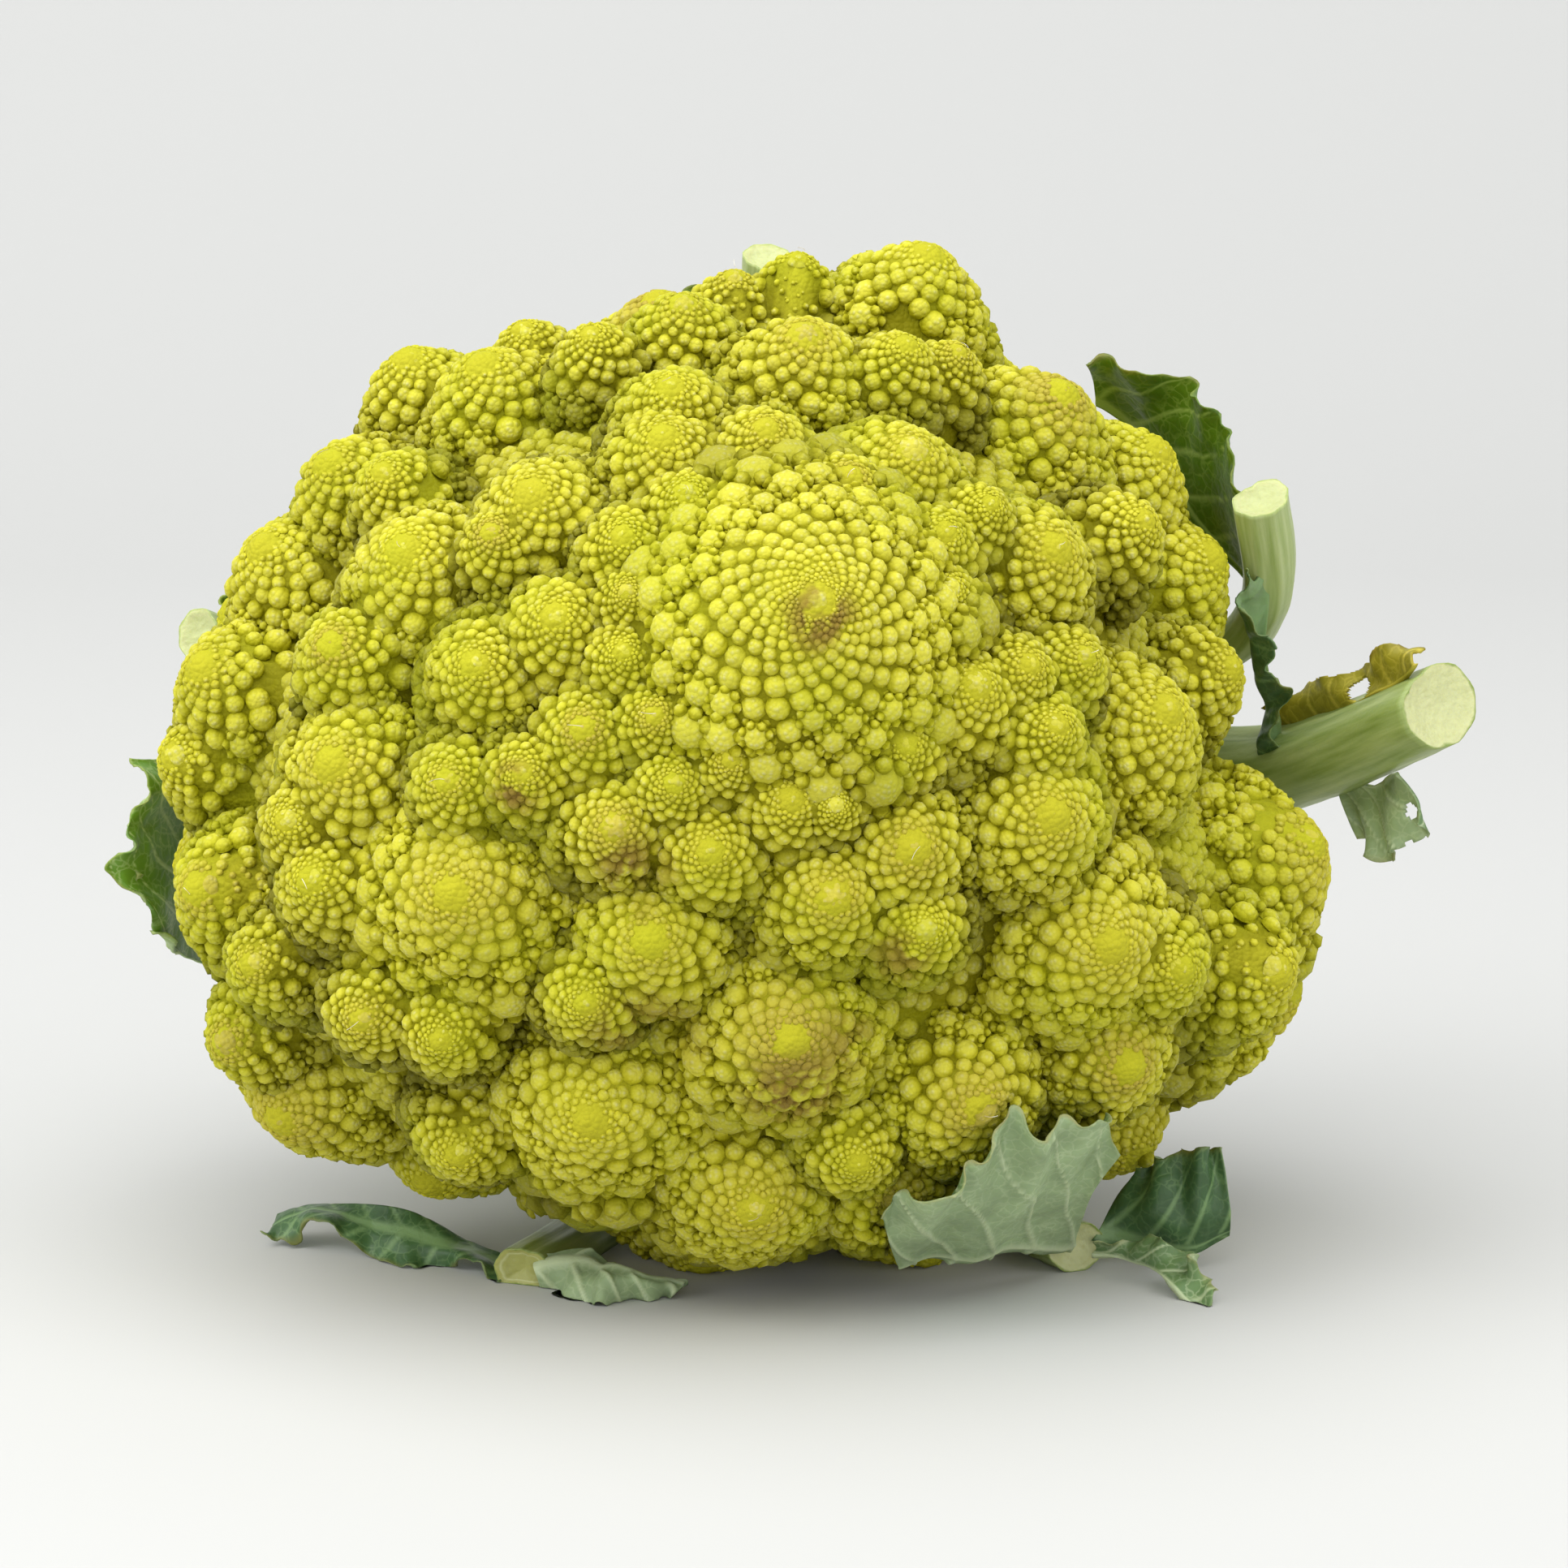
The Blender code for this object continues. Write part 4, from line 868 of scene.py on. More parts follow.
def bud_tree(finish):
    """Nodes that grow each floret's buds from a point at its tip, and rest them on the flesh."""
    tree = bpy.data.node_groups.new("buds in golden spirals", "GeometryNodeTree")
    for name, kind, value in (
            ("Tips", "Geometry", None), ("Flesh", "Object", None), ("Seed", "Int", 0),
            ("Bud width", "Float", BUD_WIDTH), ("Bud sunk", "Float", BUD_SUNK),
            ("Grain below", "Float", GRAIN_BUD), ("Large above", "Float", LARGE_BUD),
            ("Covered below", "Float", COVERED), ("Sunk", "Float", SUNK)):
        socket = tree.interface.new_socket(name, in_out="INPUT", socket_type="NodeSocket" + kind)
        if value is not None:
            socket.default_value = value
    tree.interface.new_socket("Buds", in_out="OUTPUT", socket_type="NodeSocketGeometry")

    # what is known: the inputs, the facts of the floret, and the place of its tip
    known = {socket.name: socket for socket in add(tree, "NodeGroupInput").outputs}
    for kind, names in (("INT", ("count",)),
                        ("FLOAT", FLORET_FACTS + ("phase",)),
                        ("FLOAT_VECTOR", ("axis", "right", "upper"))):
        for name in names:
            known[name] = add(tree, "GeometryNodeInputNamedAttribute", name, data_type=kind)
    known["here"] = add(tree, "GeometryNodeInputPosition")
    known["core"] = add(tree, "ShaderNodeCombineXYZ", *from_head(CORE))

    # one point for each bud of each floret, numbered from the tip outwards; the first is the tip
    buds = add(tree, "GeometryNodeDuplicateElements", known["Tips"], None, known["count"],
               domain="POINT")
    known["number"] = buds.outputs["Duplicate Index"]
    known["tip"] = add(tree, "FunctionNodeCompare", data_type="INT", operation="EQUAL",
                       sockets={2: known["number"], 3: 0})
    known["vary"] = add(tree, "FunctionNodeRandomValue", data_type="FLOAT",
                        sockets={2: BUD_SIZES[0], 3: BUD_SIZES[1], "Seed": known["Seed"]})
    work_out(tree, known, (
        # how far out it is, first as a share of the floret's radius
        ("left", MATH, "SUBTRACT", "number", "count"),
        ("left", MATH, "DIVIDE", "left", "fold"),
        ("grown", MATH, "EXPONENT", "left"),
        ("crowded", MATH, "MULTIPLY", "grown", "crowd"),
        ("loose", MATH, "SUBTRACT", 1.0, "crowded"),
        ("share", MATH, "MULTIPLY", "grown", "flank"),
        ("share", MATH, "DIVIDE", "share", "loose"),
        ("out", MATH, "MULTIPLY", "share", "radius"),
        ("out", CHOICE, "FLOAT", "tip", "out", 0.0),
        # how far down the floret's side, which falls off more steeply in the cleft
        ("slope", MATH, "MULTIPLY_ADD", "share", "bend", "straight"),
        ("drop", MATH, "MULTIPLY", "out", "slope"),
        ("past", MATH, "SUBTRACT", "share", CLEFT_FROM),
        ("past", MATH, "MAXIMUM", "past", 0.0),
        ("cleft", MATH, "MULTIPLY", "past", CLEFT),
        ("deeper", MATH, "MULTIPLY", "cleft", "past"),
        ("deeper", MATH, "MULTIPLY", "deeper", "radius"),
        ("drop", MATH, "ADD", "drop", "deeper"),
        # its place: round the axis by the golden angle
        ("clock", MATH, "MULTIPLY_ADD", "number", TURN, "phase"),
        ("cosine", MATH, "COSINE", "clock"),
        ("sine", MATH, "SINE", "clock"),
        ("to the right", VECTOR, "SCALE", "right", None, None, "cosine"),
        ("upwards", VECTOR, "SCALE", "upper", None, None, "sine"),
        ("side", VECTOR, "ADD", "to the right", "upwards"),
        ("aside", VECTOR, "SCALE", "side", None, None, "out"),
        ("down", VECTOR, "SCALE", "axis", None, None, "drop"),
        ("offset", VECTOR, "SUBTRACT", "aside", "down"),
        ("place", VECTOR, "ADD", "here", "offset"),
        # the way it faces: square to the side, which gets steeper outwards
        ("twice", MATH, "MULTIPLY", "share", 2.0),
        ("steep", MATH, "MULTIPLY_ADD", "twice", "bend", "straight"),
        ("steep", MATH, "MULTIPLY_ADD", "cleft", 2.0, "steep"),
        ("lean", CHOICE, "FLOAT", "tip", "steep", 0.0),
        ("tilt", VECTOR, "SCALE", "side", None, None, "lean"),
        ("faces", VECTOR, "ADD", "axis", "tilt"),
        ("faces", VECTOR, "NORMALIZE", "faces"),
        # its size: a share of the distance to the next bud, more or less
        ("crowding", MATH, "MULTIPLY", "loose", "fold"),
        ("spread", MATH, "INVERSE_SQRT", "crowding"),
        ("stretch", MATH, "MULTIPLY_ADD", "steep", "steep", 1.0),
        ("stretch", MATH, "POWER", "stretch", 0.25),
        ("spread", MATH, "MULTIPLY", "spread", "stretch"),
        ("spread", MATH, "MULTIPLY", "spread", math.sqrt(2 * math.pi)),
        ("spacing", MATH, "MULTIPLY", "out", "spread"),
        ("spacing", MATH, "MULTIPLY", "spacing", "vary"),
        ("spacing", CHOICE, "FLOAT", "tip", "spacing", 0.0),
        ("size", MATH, "MULTIPLY", "spacing", "Bud width"),
        ("size", CHOICE, "FLOAT", "tip", "size", "first"),
        # the way to it from inside the head
        ("way", VECTOR, "SUBTRACT", "place", "core"),
        ("far", VECTOR, "LENGTH", "way"),
        ("way", VECTOR, "NORMALIZE", "way")))

    # where the flesh lies under it, and how far it stands out of the flesh and strays
    body = add(tree, "GeometryNodeObjectInfo", known["Flesh"], transform_space="ORIGINAL")
    ray = add(tree, "GeometryNodeRaycast", sockets={
        "Target Geometry": body.outputs["Geometry"], "Source Position": known["core"],
        "Ray Direction": known["way"], "Ray Length": RAY})
    known["hit"] = ray.outputs["Hit Distance"]
    known["flat"] = add(tree, "ShaderNodeMapRange", known["share"], known["smooth"], known["rough"],
                        FLAT_BUD, 1.0)
    known["stray"] = add(tree, "FunctionNodeRandomValue", data_type="FLOAT_VECTOR",
                         sockets={0: (-JITTER,) * 3, 1: (JITTER,) * 3, "Seed": STRAY_SEED})
    known["shade"] = add(tree, "FunctionNodeRandomValue", data_type="FLOAT",
                         sockets={2: 0.0, 3: 1.0, "Seed": SHADE_SEED})
    work_out(tree, known, (
        ("surface", MATH, "ADD", "hit", "Sunk"),
        ("limit", MATH, "SUBTRACT", "surface", "Covered below"),
        ("rest", MATH, "MINIMUM", "far", "surface"),
        ("usual", MATH, "MULTIPLY", "straight", 1 / (FLORET_SLOPE * POINTED)),
        ("raised", CHOICE, "FLOAT", "tip", "flat", "usual"),
        ("lowered", MATH, "MULTIPLY", "spacing", "Bud sunk"),
        ("lowered", MATH, "MULTIPLY", "lowered", "flat"),
        ("rest", MATH, "SUBTRACT", "rest", "lowered"),
        ("settled", VECTOR, "SCALE", "way", None, None, "rest"),
        ("settled", VECTOR, "ADD", "settled", "core"),
        ("stray", VECTOR, "SCALE", "stray", None, None, "spacing"),
        ("settled", VECTOR, "ADD", "settled", "stray")))
    known["hidden"] = add(tree, "FunctionNodeCompare", known["far"], known["limit"],
                          data_type="FLOAT", operation="LESS_EQUAL")
    points = buds.outputs["Geometry"]
    for name, kind in (("faces", "FLOAT_VECTOR"), ("size", "FLOAT"), ("spacing", "FLOAT"),
                       ("hidden", "BOOLEAN"), ("shade", "FLOAT"), ("share", "FLOAT"),
                       ("flat", "FLOAT"), ("raised", "FLOAT"), ("tip", "BOOLEAN")):
        points = add(tree, "GeometryNodeStoreNamedAttribute", points, data_type=kind, domain="POINT",
                     sockets={"Name": name, "Value": known[name]})
        known[name] = add(tree, "GeometryNodeInputNamedAttribute", name, data_type=kind)
    points = add(tree, "GeometryNodeSetPosition", points, sockets={"Position": known["settled"]})
    points = add(tree, "GeometryNodeDeleteGeometry", points, known["hidden"], domain="POINT")

    # kinds of bud: a grain, a plain bud, and a large one with rings of grains
    caps = []
    for subdivisions, lowest in ((1, GRAIN_CUT), (2, BUD_CUT)):
        ball = add(tree, "GeometryNodeMeshIcoSphere", 1.0, subdivisions)
        height = add(tree, "ShaderNodeSeparateXYZ", known["here"]).outputs["Z"]
        low = add(tree, "FunctionNodeCompare", height, lowest, data_type="FLOAT",
                  operation="LESS_THAN")
        cut = add(tree, "GeometryNodeDeleteGeometry", ball.outputs["Mesh"], low, domain="FACE")
        caps.append(add(tree, "GeometryNodeStoreNamedAttribute", cut, data_type="FLOAT",
                        domain="POINT", sockets={"Name": "crown", "Value": height}))
    grain, plain = caps
    large = add(tree, "GeometryNodeJoinGeometry", plain)
    beads = add(tree, "GeometryNodeJoinGeometry")
    for grains, down, width in BEADS:
        ring = add(tree, "GeometryNodeMeshCircle", sockets={"Vertices": grains, "Radius": math.sin(down)})
        ring = add(tree, "GeometryNodeSetPosition", ring, sockets={
            "Offset": (0.0, 0.0, BEADS_LOW * math.cos(down))})
        outwards = add(tree, "FunctionNodeAlignRotationToVector", sockets={"Vector": known["here"]},
                       axis="Z")
        bead = add(tree, "GeometryNodeInstanceOnPoints", ring, sockets={
            "Instance": grain, "Rotation": outwards, "Scale": (width, width, width)})
        tree.links.new(bead.outputs[0], beads.inputs[0])
    tree.links.new(add(tree, "GeometryNodeRealizeInstances", beads).outputs[0], large.inputs[0])

    # and a smooth tip: a blunt cone as wide as the first bud's distance
    smooth = add(tree, "GeometryNodeMeshCone", sockets={
        "Vertices": TIP_SIDES, "Side Segments": TIP_RINGS, "Radius Top": 0.0,
        "Radius Bottom": TIP_REACH, "Depth": 1.0}, fill_type="NONE")
    work_out(tree, known, (
        ("ground", VECTOR, "MULTIPLY", "here", (1.0, 1.0, 0.0)),
        ("wide", VECTOR, "LENGTH", "ground"),
        ("square", MATH, "MULTIPLY", "wide", "wide"),
        ("blunt", MATH, "ADD", "square", TIP_BLUNT ** 2),
        ("blunt", MATH, "SQRT", "blunt"),
        ("fall", MATH, "MULTIPLY_ADD", "square", -TIP_BEND, TIP_RISE),
        ("fall", MATH, "MULTIPLY_ADD", "blunt", -FLORET_SLOPE * POINTED, "fall"),
        ("brim", MATH, "POWER", "wide", TIP_BRIM_POWER),
        ("fall", MATH, "MULTIPLY_ADD", "brim", -TIP_BRIM, "fall")))
    height = add(tree, "ShaderNodeCombineXYZ", 0.0, 0.0, known["fall"])
    smooth = add(tree, "GeometryNodeSetPosition", smooth.outputs["Mesh"], sockets={
        "Position": add(tree, "ShaderNodeVectorMath", known["ground"], height, operation="ADD")})
    smooth = add(tree, "GeometryNodeStoreNamedAttribute", smooth, data_type="FLOAT", domain="POINT",
                 sockets={"Name": "crown", "Value": 1.0})

    # each point gets its kind of bud, turned outwards and spun at random
    upright = add(tree, "FunctionNodeAlignRotationToVector", sockets={"Vector": known["faces"]},
                  axis="Z")
    spin = add(tree, "FunctionNodeRandomValue", data_type="FLOAT",
               sockets={2: 0.0, 3: math.tau, "Seed": SPIN_SEED})
    spin = add(tree, "FunctionNodeEulerToRotation", add(tree, "ShaderNodeCombineXYZ", 0.0, 0.0, spin))
    turned = add(tree, "FunctionNodeRotateRotation", upright, spin, rotation_space="LOCAL")
    small = add(tree, "FunctionNodeCompare", known["spacing"], known["Grain below"],
                data_type="FLOAT", operation="LESS_THAN")
    wide = add(tree, "FunctionNodeCompare", known["spacing"], known["Large above"],
               data_type="FLOAT", operation="GREATER_THAN")
    middling = add(tree, "FunctionNodeBooleanMath", small, wide, operation="NOR")
    lower = add(tree, "ShaderNodeMath", known["size"], known["raised"], operation="MULTIPLY")
    scale = add(tree, "ShaderNodeCombineXYZ", known["size"], known["size"], lower)
    joined = add(tree, "GeometryNodeJoinGeometry")
    for chosen, shape in ((None, smooth), (small, grain), (middling, plain), (wide, large)):
        if chosen is None:
            chosen = known["tip"]
        else:
            chosen = add(tree, "FunctionNodeBooleanMath", chosen, known["tip"], operation="NIMPLY")
        some = add(tree, "GeometryNodeInstanceOnPoints", points, chosen, sockets={
            "Instance": shape, "Rotation": turned, "Scale": scale})
        tree.links.new(some.outputs[0], joined.inputs[0])
    real = add(tree, "GeometryNodeRealizeInstances", joined)

    # what rests on the floor is pressed flat
    where = add(tree, "ShaderNodeSeparateXYZ", known["here"])
    kept = add(tree, "ShaderNodeMath", where.outputs["Z"], BUD_LIFT, operation="MAXIMUM")
    kept = add(tree, "ShaderNodeCombineXYZ", where.outputs["X"], where.outputs["Y"], kept)
    real = add(tree, "GeometryNodeSetPosition", real, sockets={"Position": kept})
    real = add(tree, "GeometryNodeSetShadeSmooth", real)
    real = add(tree, "GeometryNodeSetMaterial", real, sockets={"Material": finish})
    add(tree, "NodeGroupOutput", real)
    return tree


def grow_buds(name, florets, body, tree):
    """One piece of the curd: the buds of these florets."""
    tips = bpy.data.meshes.new(name)
    tips.from_pydata([tuple(from_head(floret.tip)) for floret in florets], [], [])
    rng = random.Random(name)
    facts = {key: [getattr(floret, key) for floret in florets] for key in FLORET_FACTS}
    facts["phase"], facts["ripe"] = zip(*[(rng.uniform(0, math.tau), rng.random() ** RIPE)
                                          for _ in florets])
    for key, values in facts.items():
        tips.attributes.new(key, "FLOAT", "POINT").data.foreach_set("value", values)
    counts = [floret.count for floret in florets]
    tips.attributes.new("count", "INT", "POINT").data.foreach_set("value", counts)
    axes = [floret.axis for floret in florets]
    rights = [axis.cross(Vector((0.3, 1, 0.2))).normalized() for axis in axes]
    uppers = [axis.cross(right) for axis, right in zip(axes, rights)]
    for key, ways in (("axis", axes), ("right", rights), ("upper", uppers)):
        values = [number for way in ways for number in HEAD_TURN @ way]
        tips.attributes.new(key, "FLOAT_VECTOR", "POINT").data.foreach_set("vector", values)
    piece = bpy.data.objects.new(name, tips)
    bpy.context.scene.collection.objects.link(piece)
    grow = piece.modifiers.new("buds", "NODES")
    grow.node_group = tree
    sockets = {item.name: item.identifier for item in tree.interface.items_tree if item.in_out == "INPUT"}
    grow[sockets["Flesh"]] = body
    grow[sockets["Seed"]] = len(florets)
    bpy.context.view_layer.update()
    shown = piece.evaluated_get(bpy.context.evaluated_depsgraph_get())
    mesh = bpy.data.meshes.new_from_object(shown)
    piece.modifiers.clear()
    piece.data = mesh
    mesh.name = name
    return piece


def fill_gaps(body, grown, finish):
    """Single buds on the bare places of the flesh, where no floret's spiral reaches."""
    near = kdtree.KDTree(sum(len(piece.data.vertices) for piece in grown))
    for piece in grown:
        for vert in piece.data.vertices:
            near.insert(vert.co, 0)
    near.balance()
    chosen = []
    back = body.data.attributes["back"].data
    for vert in body.data.vertices:
        if back[vert.index].value > 0 or near.find(vert.co)[2] < GAP_BARE * GAP_BUD:
            continue
        if vert.co.z < CLEAR_OF_FLOOR:
            continue
        if all((vert.co - other.co).length > GAP_APART * GAP_BUD for other in chosen):
            chosen.append(vert)
    bm = bmesh.new()
    bmesh.ops.create_icosphere(bm, subdivisions=2, radius=1)
    low = [face for face in bm.faces if face.calc_center_median().z < BUD_CUT]
    bmesh.ops.delete(bm, geom=low, context="FACES")
    bm.verts.index_update()
    ball = [vert.co.copy() for vert in bm.verts]
    corners = [[vert.index for vert in face.verts] for face in bm.faces]
    bm.free()
    rng = random.Random(GAP_SEED)
    points, faces, crown, shade = [], [], [], []
    for vert in chosen:
        size = BUD_WIDTH * GAP_BUD * rng.uniform(*GAP_SIZES)
        turn = Vector((0, 0, 1)).rotation_difference(vert.normal).to_matrix()
        faces += [[corner + len(points) for corner in face] for face in corners]
        points += [vert.co + turn @ (place * size) - vert.normal * GAP_SUNK * size for place in ball]
        crown += [place.z for place in ball]
        shade += [rng.random()] * len(ball)
    for point in points:
        point.z = max(point.z, BUD_LIFT)
    # share and flat of 1 give these buds the painted shade of the clefts in the curd's finish
    full = [1.0] * len(points)
    return new_piece("curd_gaps", points, faces, finish,
                     {"crown": crown, "shade": shade, "share": full, "flat": full})


def fibres(florets, finish):
    """A few tiny pale fibres that lie on the florets."""
    rng = random.Random(FIBRE_SEED)
    points, faces = [], []
    for floret in florets[::FIBRE_EVERY]:
        start = from_head(floret.tip)
        axis = HEAD_TURN @ floret.axis
        way = axis.cross(Vector((rng.uniform(-1, 1), rng.uniform(-1, 1), rng.uniform(-1, 1)))).normalized()
        side = axis.cross(way)
        length, bend = rng.uniform(*FIBRE_LENGTH) * MM, rng.uniform(-0.5, 0.5)
        first = len(points)
        for step in range(FIBRE_STEPS):
            share = step / (FIBRE_STEPS - 1)
            middle = start + way * length * (share - 0.2) + side * bend * length * share ** 2
            middle += axis * (0.25 + 0.9 * share * (1 - 0.4 * share)) * MM
            for corner in range(3):
                angle = math.tau * corner / 3
                points.append(middle + FIBRE * (side * math.cos(angle) + axis * math.sin(angle)))
        for step in range(FIBRE_STEPS - 1):
            for corner in range(3):
                a, b = first + 3 * step + corner, first + 3 * step + (corner + 1) % 3
                faces.append((a, b, b + 3, a + 3))
    return new_piece("curd_fibres", points, faces, finish)


def plain_finish(name, roughness, skin=0.0, stored=()):
    """A material: its node tree, shader, the place on the piece, and facts stored on its points.

    skin is how much light goes through its surface.
    """
    finish = bpy.data.materials.new(name)
    finish.use_nodes = True
    tree = finish.node_tree
    shader = tree.nodes["Principled BSDF"]
    shader.inputs["Roughness"].default_value = roughness
    shader.inputs["IOR"].default_value = PLANT_IOR
    if skin:
        shader.inputs["Subsurface Weight"].default_value = skin
        shader.inputs["Subsurface Radius"].default_value = (1.0, 0.8, 0.25)
        shader.inputs["Subsurface Scale"].default_value = SKIN_DEPTH
    spot = add(tree, "ShaderNodeTexCoord").outputs["Object"]
    facts = [add(tree, "ShaderNodeAttribute", attribute_name=fact).outputs["Fac"] for fact in stored]
    return finish, tree, shader, spot, *facts


def patches(tree, where, width, detail, *levels):
    """Soft patches about this wide: from two levels of a noise to the two they become."""
    cloud = add(tree, "ShaderNodeTexNoise", where, sockets={"Scale": 1 / width, "Detail": detail})
    return add(tree, "ShaderNodeMapRange", cloud.outputs["Fac"], *levels)


def layered(tree, colour, *layers):
    """A colour under layers: each is a share and a colour, or a brightness and None."""
    colour = linear(colour) if isinstance(colour, str) else colour
    for share, over in layers:
        how = "MIX" if over else "MULTIPLY"
        if over is None:
            share, over = 1.0, add(tree, "ShaderNodeCombineColor", share, share, share)
        elif isinstance(over, str):
            over = linear(over)
        colour = add(tree, "ShaderNodeMix", data_type="RGBA", blend_type=how,
                     sockets={"Factor": share, 6: colour, 7: over}).outputs[2]
    return colour


def surface(tree, shader, colour, height, strength, deep):
    """Gives the shader its colour, and bumps that are deep metres high at most."""
    bump = add(tree, "ShaderNodeBump", sockets={"Strength": strength, "Distance": deep,
                                                "Height": height})
    tree.links.new(colour, shader.inputs["Base Color"])
    tree.links.new(bump.outputs["Normal"], shader.inputs["Normal"])


def curd_finish():
    """Fresh romanesco curd: a matt plant skin, yellow on top, olive and darker in the clefts with painted
    shade, a painted sheen on the bud tops, and brown spots.
    """
    finish, tree, shader, spot, crown, shade, share, flat, ripe, back = plain_finish(
        "romanesco curd", 0.7, 0.08, ("crown", "shade", "share", "flat", "ripe", "back"))
    shader.inputs["Specular IOR Level"].default_value = 0.2
    # the tops of buds are yellow and their lower sides and the flesh between them olive, partly the skin's
    # own olive and partly painted shade of the clefts; near a tip the skin is even
    side = add(tree, "ShaderNodeMapRange", flat, 0.4, 0.95, 0.0, 1.0)
    top = add(tree, "ShaderNodeMapRange", crown, 0.22, 0.8, 0.0, 1.0)
    # tiny grains over the whole skin; on the bud tops the middles of the grains are painted pale, a painted
    # sheen
    grain = add(tree, "ShaderNodeTexVoronoi", spot, sockets={"Scale": 1 / GRAIN})
    pale = add(tree, "ShaderNodeMapRange", grain.outputs["Distance"], 0.05, 0.5, 0.85, 0.15)
    high = add(tree, "ShaderNodeMapRange", crown, 0.5, 0.95, 0.0, 1.0)
    pale = add(tree, "ShaderNodeMath", pale, high, operation="MULTIPLY")
    # single buds differ in tone, and deep in the clefts the skin is darkened: painted shade
    tone = add(tree, "ShaderNodeMapRange", shade, 0.0, 1.0, 0.88, 1.05)
    deep = add(tree, "ShaderNodeMapRange", share, 0.85, 1.35, 1.0, 0.36)
    # greener patches, some centimetres wide
    patch = patches(tree, spot, 18 * MM, 2.0, 0.46, 0.66, 0.0, 0.35)
    # some florets' tips have turned olive brown
    near = add(tree, "ShaderNodeMapRange", share, 0.22, 0.60, 0.9, 0.0)
    near = add(tree, "ShaderNodeMath", near, ripe, operation="MULTIPLY")
    # bruised brown spots where the head has rubbed
    bruise = 0.0
    spots = [(seen_on_dome(across, down), radius) for across, down, radius in BRUISES]
    for place, radius in spots + [(Vector(CONE_BRUISE[:3]) * MM, CONE_BRUISE[3])]:
        centre = add(tree, "ShaderNodeCombineXYZ", *from_head(place))
        away = add(tree, "ShaderNodeVectorMath", spot, centre, operation="DISTANCE").outputs["Value"]
        fall = add(tree, "ShaderNodeMapRange", away, 0.5 * radius * MM, 1.25 * radius * MM, 1.0, 0.0)
        bruise = add(tree, "ShaderNodeMath", bruise, fall, operation="MAXIMUM")
    blot = patches(tree, spot, 4 * MM, 4.0, 0.40, 0.52, 0.0, 0.8)
    bruise = add(tree, "ShaderNodeMath", bruise, blot, operation="MULTIPLY")
    # layers: bud sides with painted shade, bud tops, painted sheen on the tops, tone of single buds, painted
    # shade in the clefts, green patches, ripe tips, bruises, pale back
    colour = layered(tree, CURD_TOP, (side, CURD_LOW_AND_SHADE), (top, CURD_TOP), (pale, "#CBC884"),
                     (tone, None), (deep, None), (patch, CURD_GREEN), (near, "#A9963E"),
                     (bruise, "#76562A"), (back, "#B4BC72"))
    height = add(tree, "ShaderNodeMath", 1.0, grain.outputs["Distance"], operation="SUBTRACT")
    surface(tree, shader, colour, height, 0.9, GRAIN_DEEP)
    return finish


def fibre_finish():
    """Dry plant fibre: dull and off-white, browner in some stretches."""
    finish, tree, shader, spot = plain_finish("dry plant fibre, off-white", 0.8)
    age = patches(tree, spot, 1.2 * MM, 2.0, 0.42, 0.66, 0.0, 1.0)
    tree.links.new(layered(tree, "#E8E5D6", (age, "#B9A67C")), shader.inputs["Base Color"])
    return finish


def stalk_finish(name, skin, pale, flesh_colour):
    """A leaf stalk or stem: a smooth green skin with pale streaks, and where cut a moist pale flesh."""
    finish, tree, shader, spot, inner, cut, turn, along = plain_finish(
        name, 0.42, 0.25, ("inner", "cut", "turn", "along"))
    # streaks along it: fine round it, long lengthwise
    turn = add(tree, "ShaderNodeMath", turn, 14.0, operation="MULTIPLY")
    along = add(tree, "ShaderNodeMath", along, 1 / (16 * MM), operation="MULTIPLY")
    round_it = add(tree, "ShaderNodeCombineXYZ", turn, along, 0.0)
    streak = patches(tree, round_it, 1.0, 3.0, 0.32, 0.72, 0.1, 0.9)
    # in the cut: a rim of skin, a ring of darker fibres, then pith
    stray = patches(tree, spot, 2.5 * MM, 3.0, 0.3, 0.7, -0.05, 0.05)
    ring = add(tree, "ShaderNodeValToRGB", add(tree, "ShaderNodeMath", inner, stray, operation="ADD"))
    tones = ring.color_ramp.elements
    tones[0].color = linear(skin)
    tones[1].color = linear(flesh_colour)
    tones[1].position = 0.07
    for place, tone in ((0.16, flesh_colour), (0.22, "#BCBF88"), (0.30, flesh_colour)):
        tones.new(place).color = linear(tone)
    dots = add(tree, "ShaderNodeTexVoronoi", spot, sockets={"Scale": 1 / (0.8 * MM)})
    dots = add(tree, "ShaderNodeMapRange", dots.outputs["Distance"], 0.1, 0.5, 0.22, 0.0)
    open_flesh = layered(tree, ring.outputs["Color"], (dots, "#A3A269"))
    pore = add(tree, "ShaderNodeTexNoise", spot, sockets={"Scale": 1 / (1.1 * MM), "Detail": 3.0})
    open_pore = add(tree, "ShaderNodeMapRange", cut, 0.0, 1.0, 0.25, 0.9)
    surface(tree, shader, layered(tree, skin, (streak, pale), (cut, open_flesh)),
            pore.outputs["Fac"], open_pore, 0.3 * MM)
    return finish


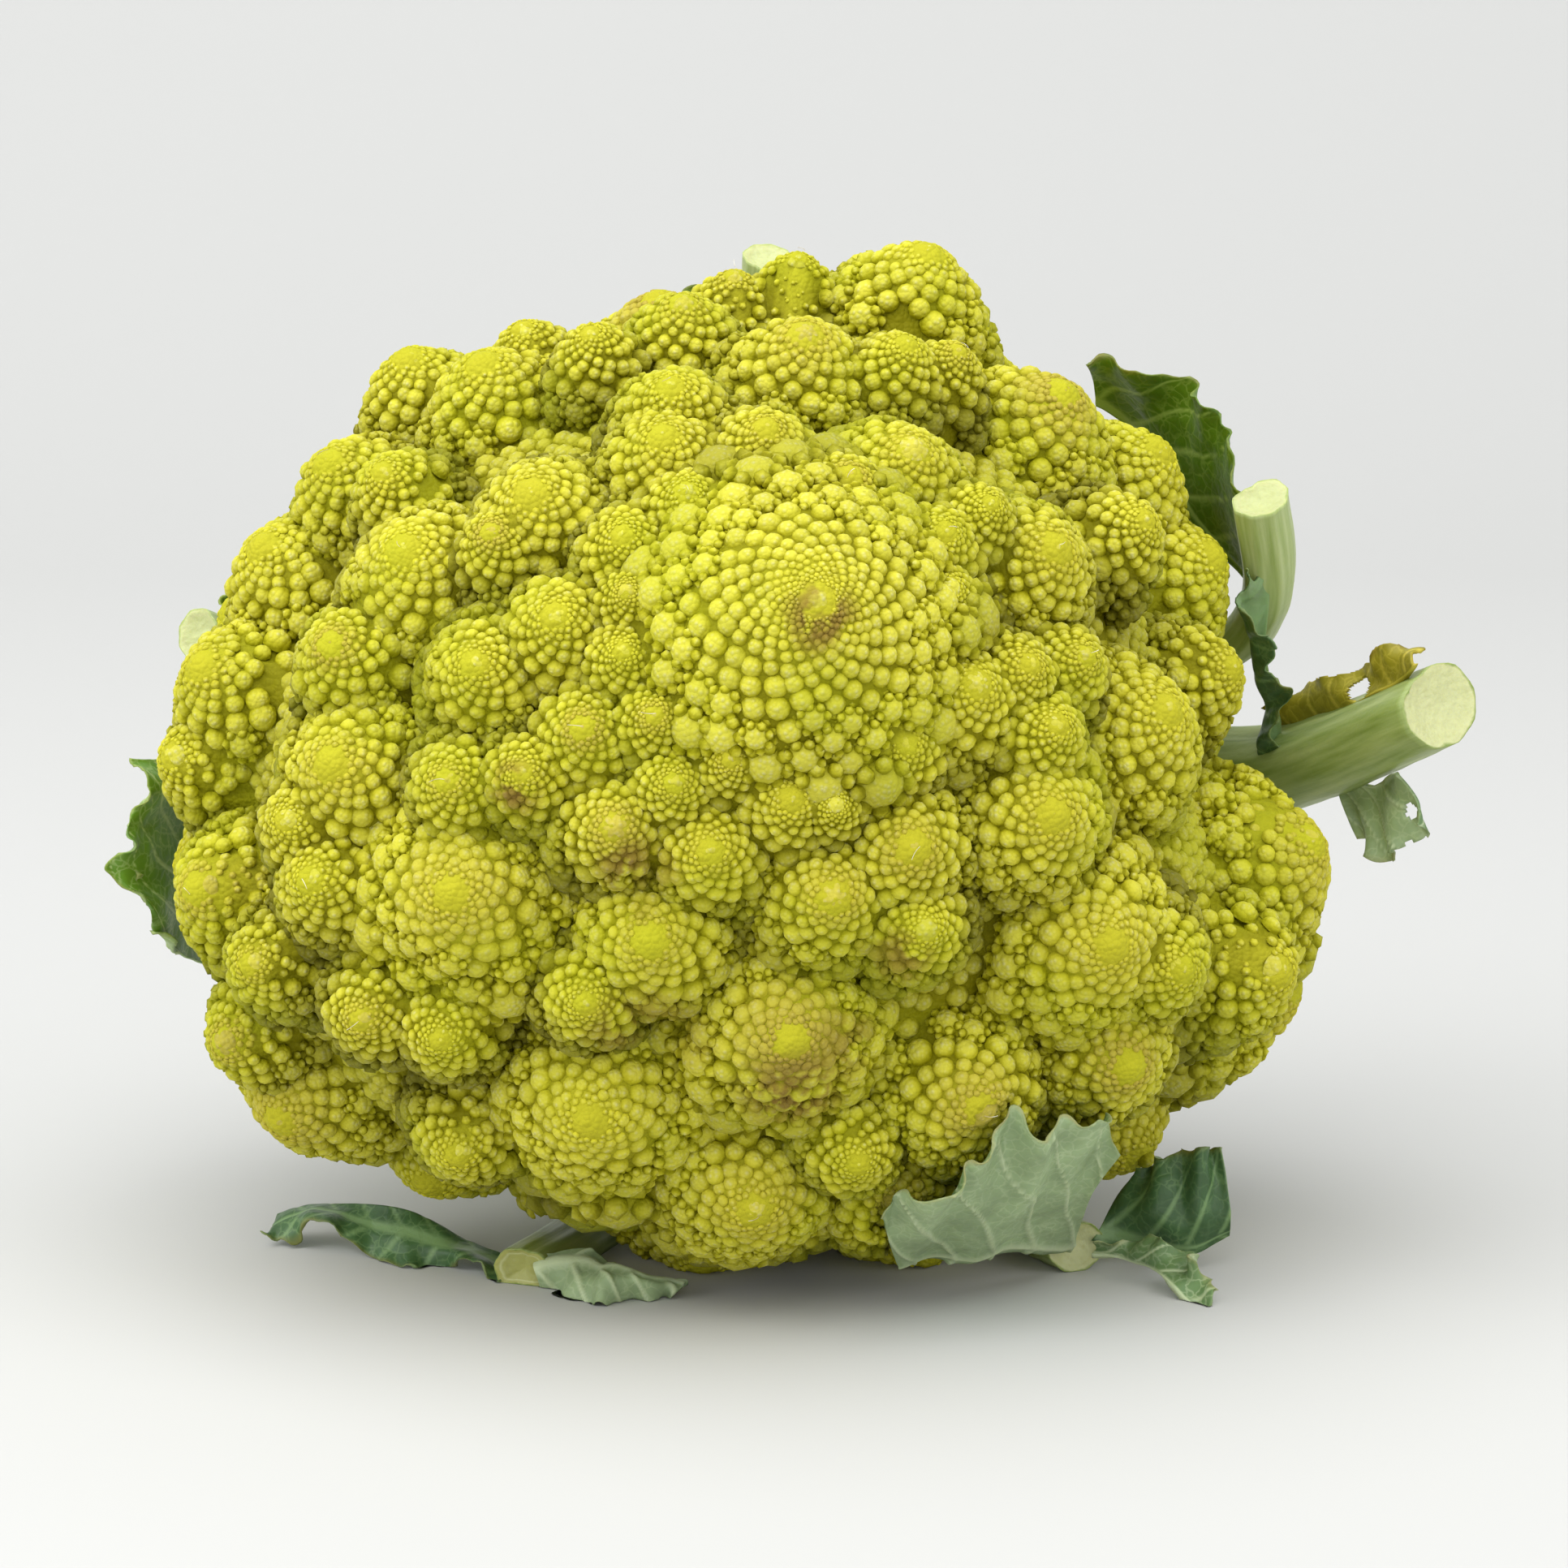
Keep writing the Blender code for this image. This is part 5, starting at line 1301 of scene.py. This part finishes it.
def leaf_finish(name, above, below, veined, dry, roughness):
    """A brassica leaf: waxy, with pale veins, a paler underside and dry tissue at its edge."""
    finish, tree, shader, spot, vein, under, edge = plain_finish(
        name, roughness, 0.15, ("vein", "under", "edge"))
    # a bloom of wax and darker patches
    cloud = add(tree, "ShaderNodeTexNoise", spot, sockets={"Scale": 1 / (6 * MM), "Detail": 4.0})
    cloud = cloud.outputs["Fac"]
    tone = add(tree, "ShaderNodeMapRange", cloud, 0.3, 0.7, 0.78, 1.16)
    # the net of small veins between the side veins, uneven and clearer in some places
    warp = add(tree, "ShaderNodeTexNoise", spot, sockets={"Scale": 1 / (1.5 * MM), "Detail": 2.0})
    warp = add(tree, "ShaderNodeVectorMath", warp.outputs["Color"], operation="SCALE",
               sockets={"Scale": 1.6 * MM})
    warped = add(tree, "ShaderNodeVectorMath", spot, warp, operation="ADD")
    net = add(tree, "ShaderNodeTexVoronoi", warped, feature="DISTANCE_TO_EDGE",
              sockets={"Scale": 1 / (1.9 * MM)})
    thread = add(tree, "ShaderNodeMapRange", net.outputs["Distance"], 0.0, 0.10, 0.6, 0.0)
    clear = add(tree, "ShaderNodeMapRange", cloud, 0.35, 0.65, 0.15, 0.75)
    thread = add(tree, "ShaderNodeMath", thread, clear, operation="MULTIPLY")
    vein = add(tree, "ShaderNodeMapRange", vein, 0.15, 0.8, 0.0, 0.9)
    edge = add(tree, "ShaderNodeMath", edge, cloud, operation="MULTIPLY")
    edge = add(tree, "ShaderNodeMapRange", edge, 0.35, 0.62, 0.0, 0.8)
    colour = layered(tree, above, (under, below), (tone, None), (thread, veined), (vein, veined),
                     (edge, dry))
    surface(tree, shader, colour, net.outputs["Distance"], 0.5, 0.25 * MM)
    return finish


def finished(piece, node):
    """The piece stands for a node of the solid and moves with it."""
    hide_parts(node)
    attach(piece, "root")


def main():
    """The camera and the studio, then the curd, the stalks and the blades."""
    place_camera()
    studio()
    curd = curd_finish()
    florets = place_florets()
    body = flesh(florets, curd, leaf_obstacles())
    tree = bud_tree(curd)
    shown, hidden = florets[:len(FLORETS)], florets[len(FLORETS):-1]
    third = len(hidden) // 3
    groups = {"curd_cone": florets[-1:],
              "curd_ring": shown[:RING_FLORETS],
              "curd_front_a": shown[RING_FLORETS::2],
              "curd_front_b": shown[RING_FLORETS + 1::2],
              "curd_side_a": hidden[:third],
              "curd_side_b": hidden[third:2 * third],
              "curd_side_c": hidden[2 * third:]}
    finished(body, "curd")
    grown = [grow_buds(name, group, body, tree) for name, group in groups.items()]
    grown.append(fill_gaps(body, grown, curd))
    grown.append(fibres(shown, fibre_finish()))
    for piece in grown:
        finished(piece, "curd")

    stem = stalk_finish("broccoli stem", "#A3AF68", "#C2CA90", "#DDDCB0")
    finished(tube("stem_cut", stem_rings(), stem, STEM_DISH), "stem")
    green = stalk_finish("leaf stalk, green", "#768B3E", "#A9B676", "#BEC18C")
    pale = stalk_finish("leaf stalk, pale and glassy", "#8FA257", "#B9C48C", "#BAC086")
    old = stalk_finish("leaf stalk, cut some days ago", "#71863C", "#A5B070", "#A6A75E")
    for name in STALKS:
        skin = pale if name in PALE_STALKS else old if name in OLD_STALKS else green
        finished(tube(name + "_cut", stalk_rings(name), skin, STALK_DISH), name)

    # upper side, underside, veins, dry edge, roughness
    leaves = {look: leaf_finish(*colours) for look, colours in {
        "dark": ("broccoli leaf, dark green", "#48680F", "#6C8A38", "#8FA552", "#6E6A2A", 0.42),
        "grey": ("broccoli leaf, grey with wax", "#668352", "#94A97C", "#C2CFA6", "#8E8B58", 0.52),
        "deep": ("broccoli leaf, blue green", "#3F5F36", "#7E9A68", "#7A9863", "#76783E", 0.42),
        "wilted": ("wilted leaf, olive", "#8C8420", "#AE9D2C", "#C4B548", "#5C4C1C", 0.55),
        "fresh": ("broccoli leaf, fresh green", "#5C8424", "#8DA562", "#B4C786", "#7F8A3A", 0.42),
    }.items()}
    for name, (kind, *_) in BLADES.items():
        look = "fresh" if name in FRESH_LEAVES else "deep" if name in DEEP_LEAVES else kind
        finished(leaf_blade(name, leaves[look]), name)


main()
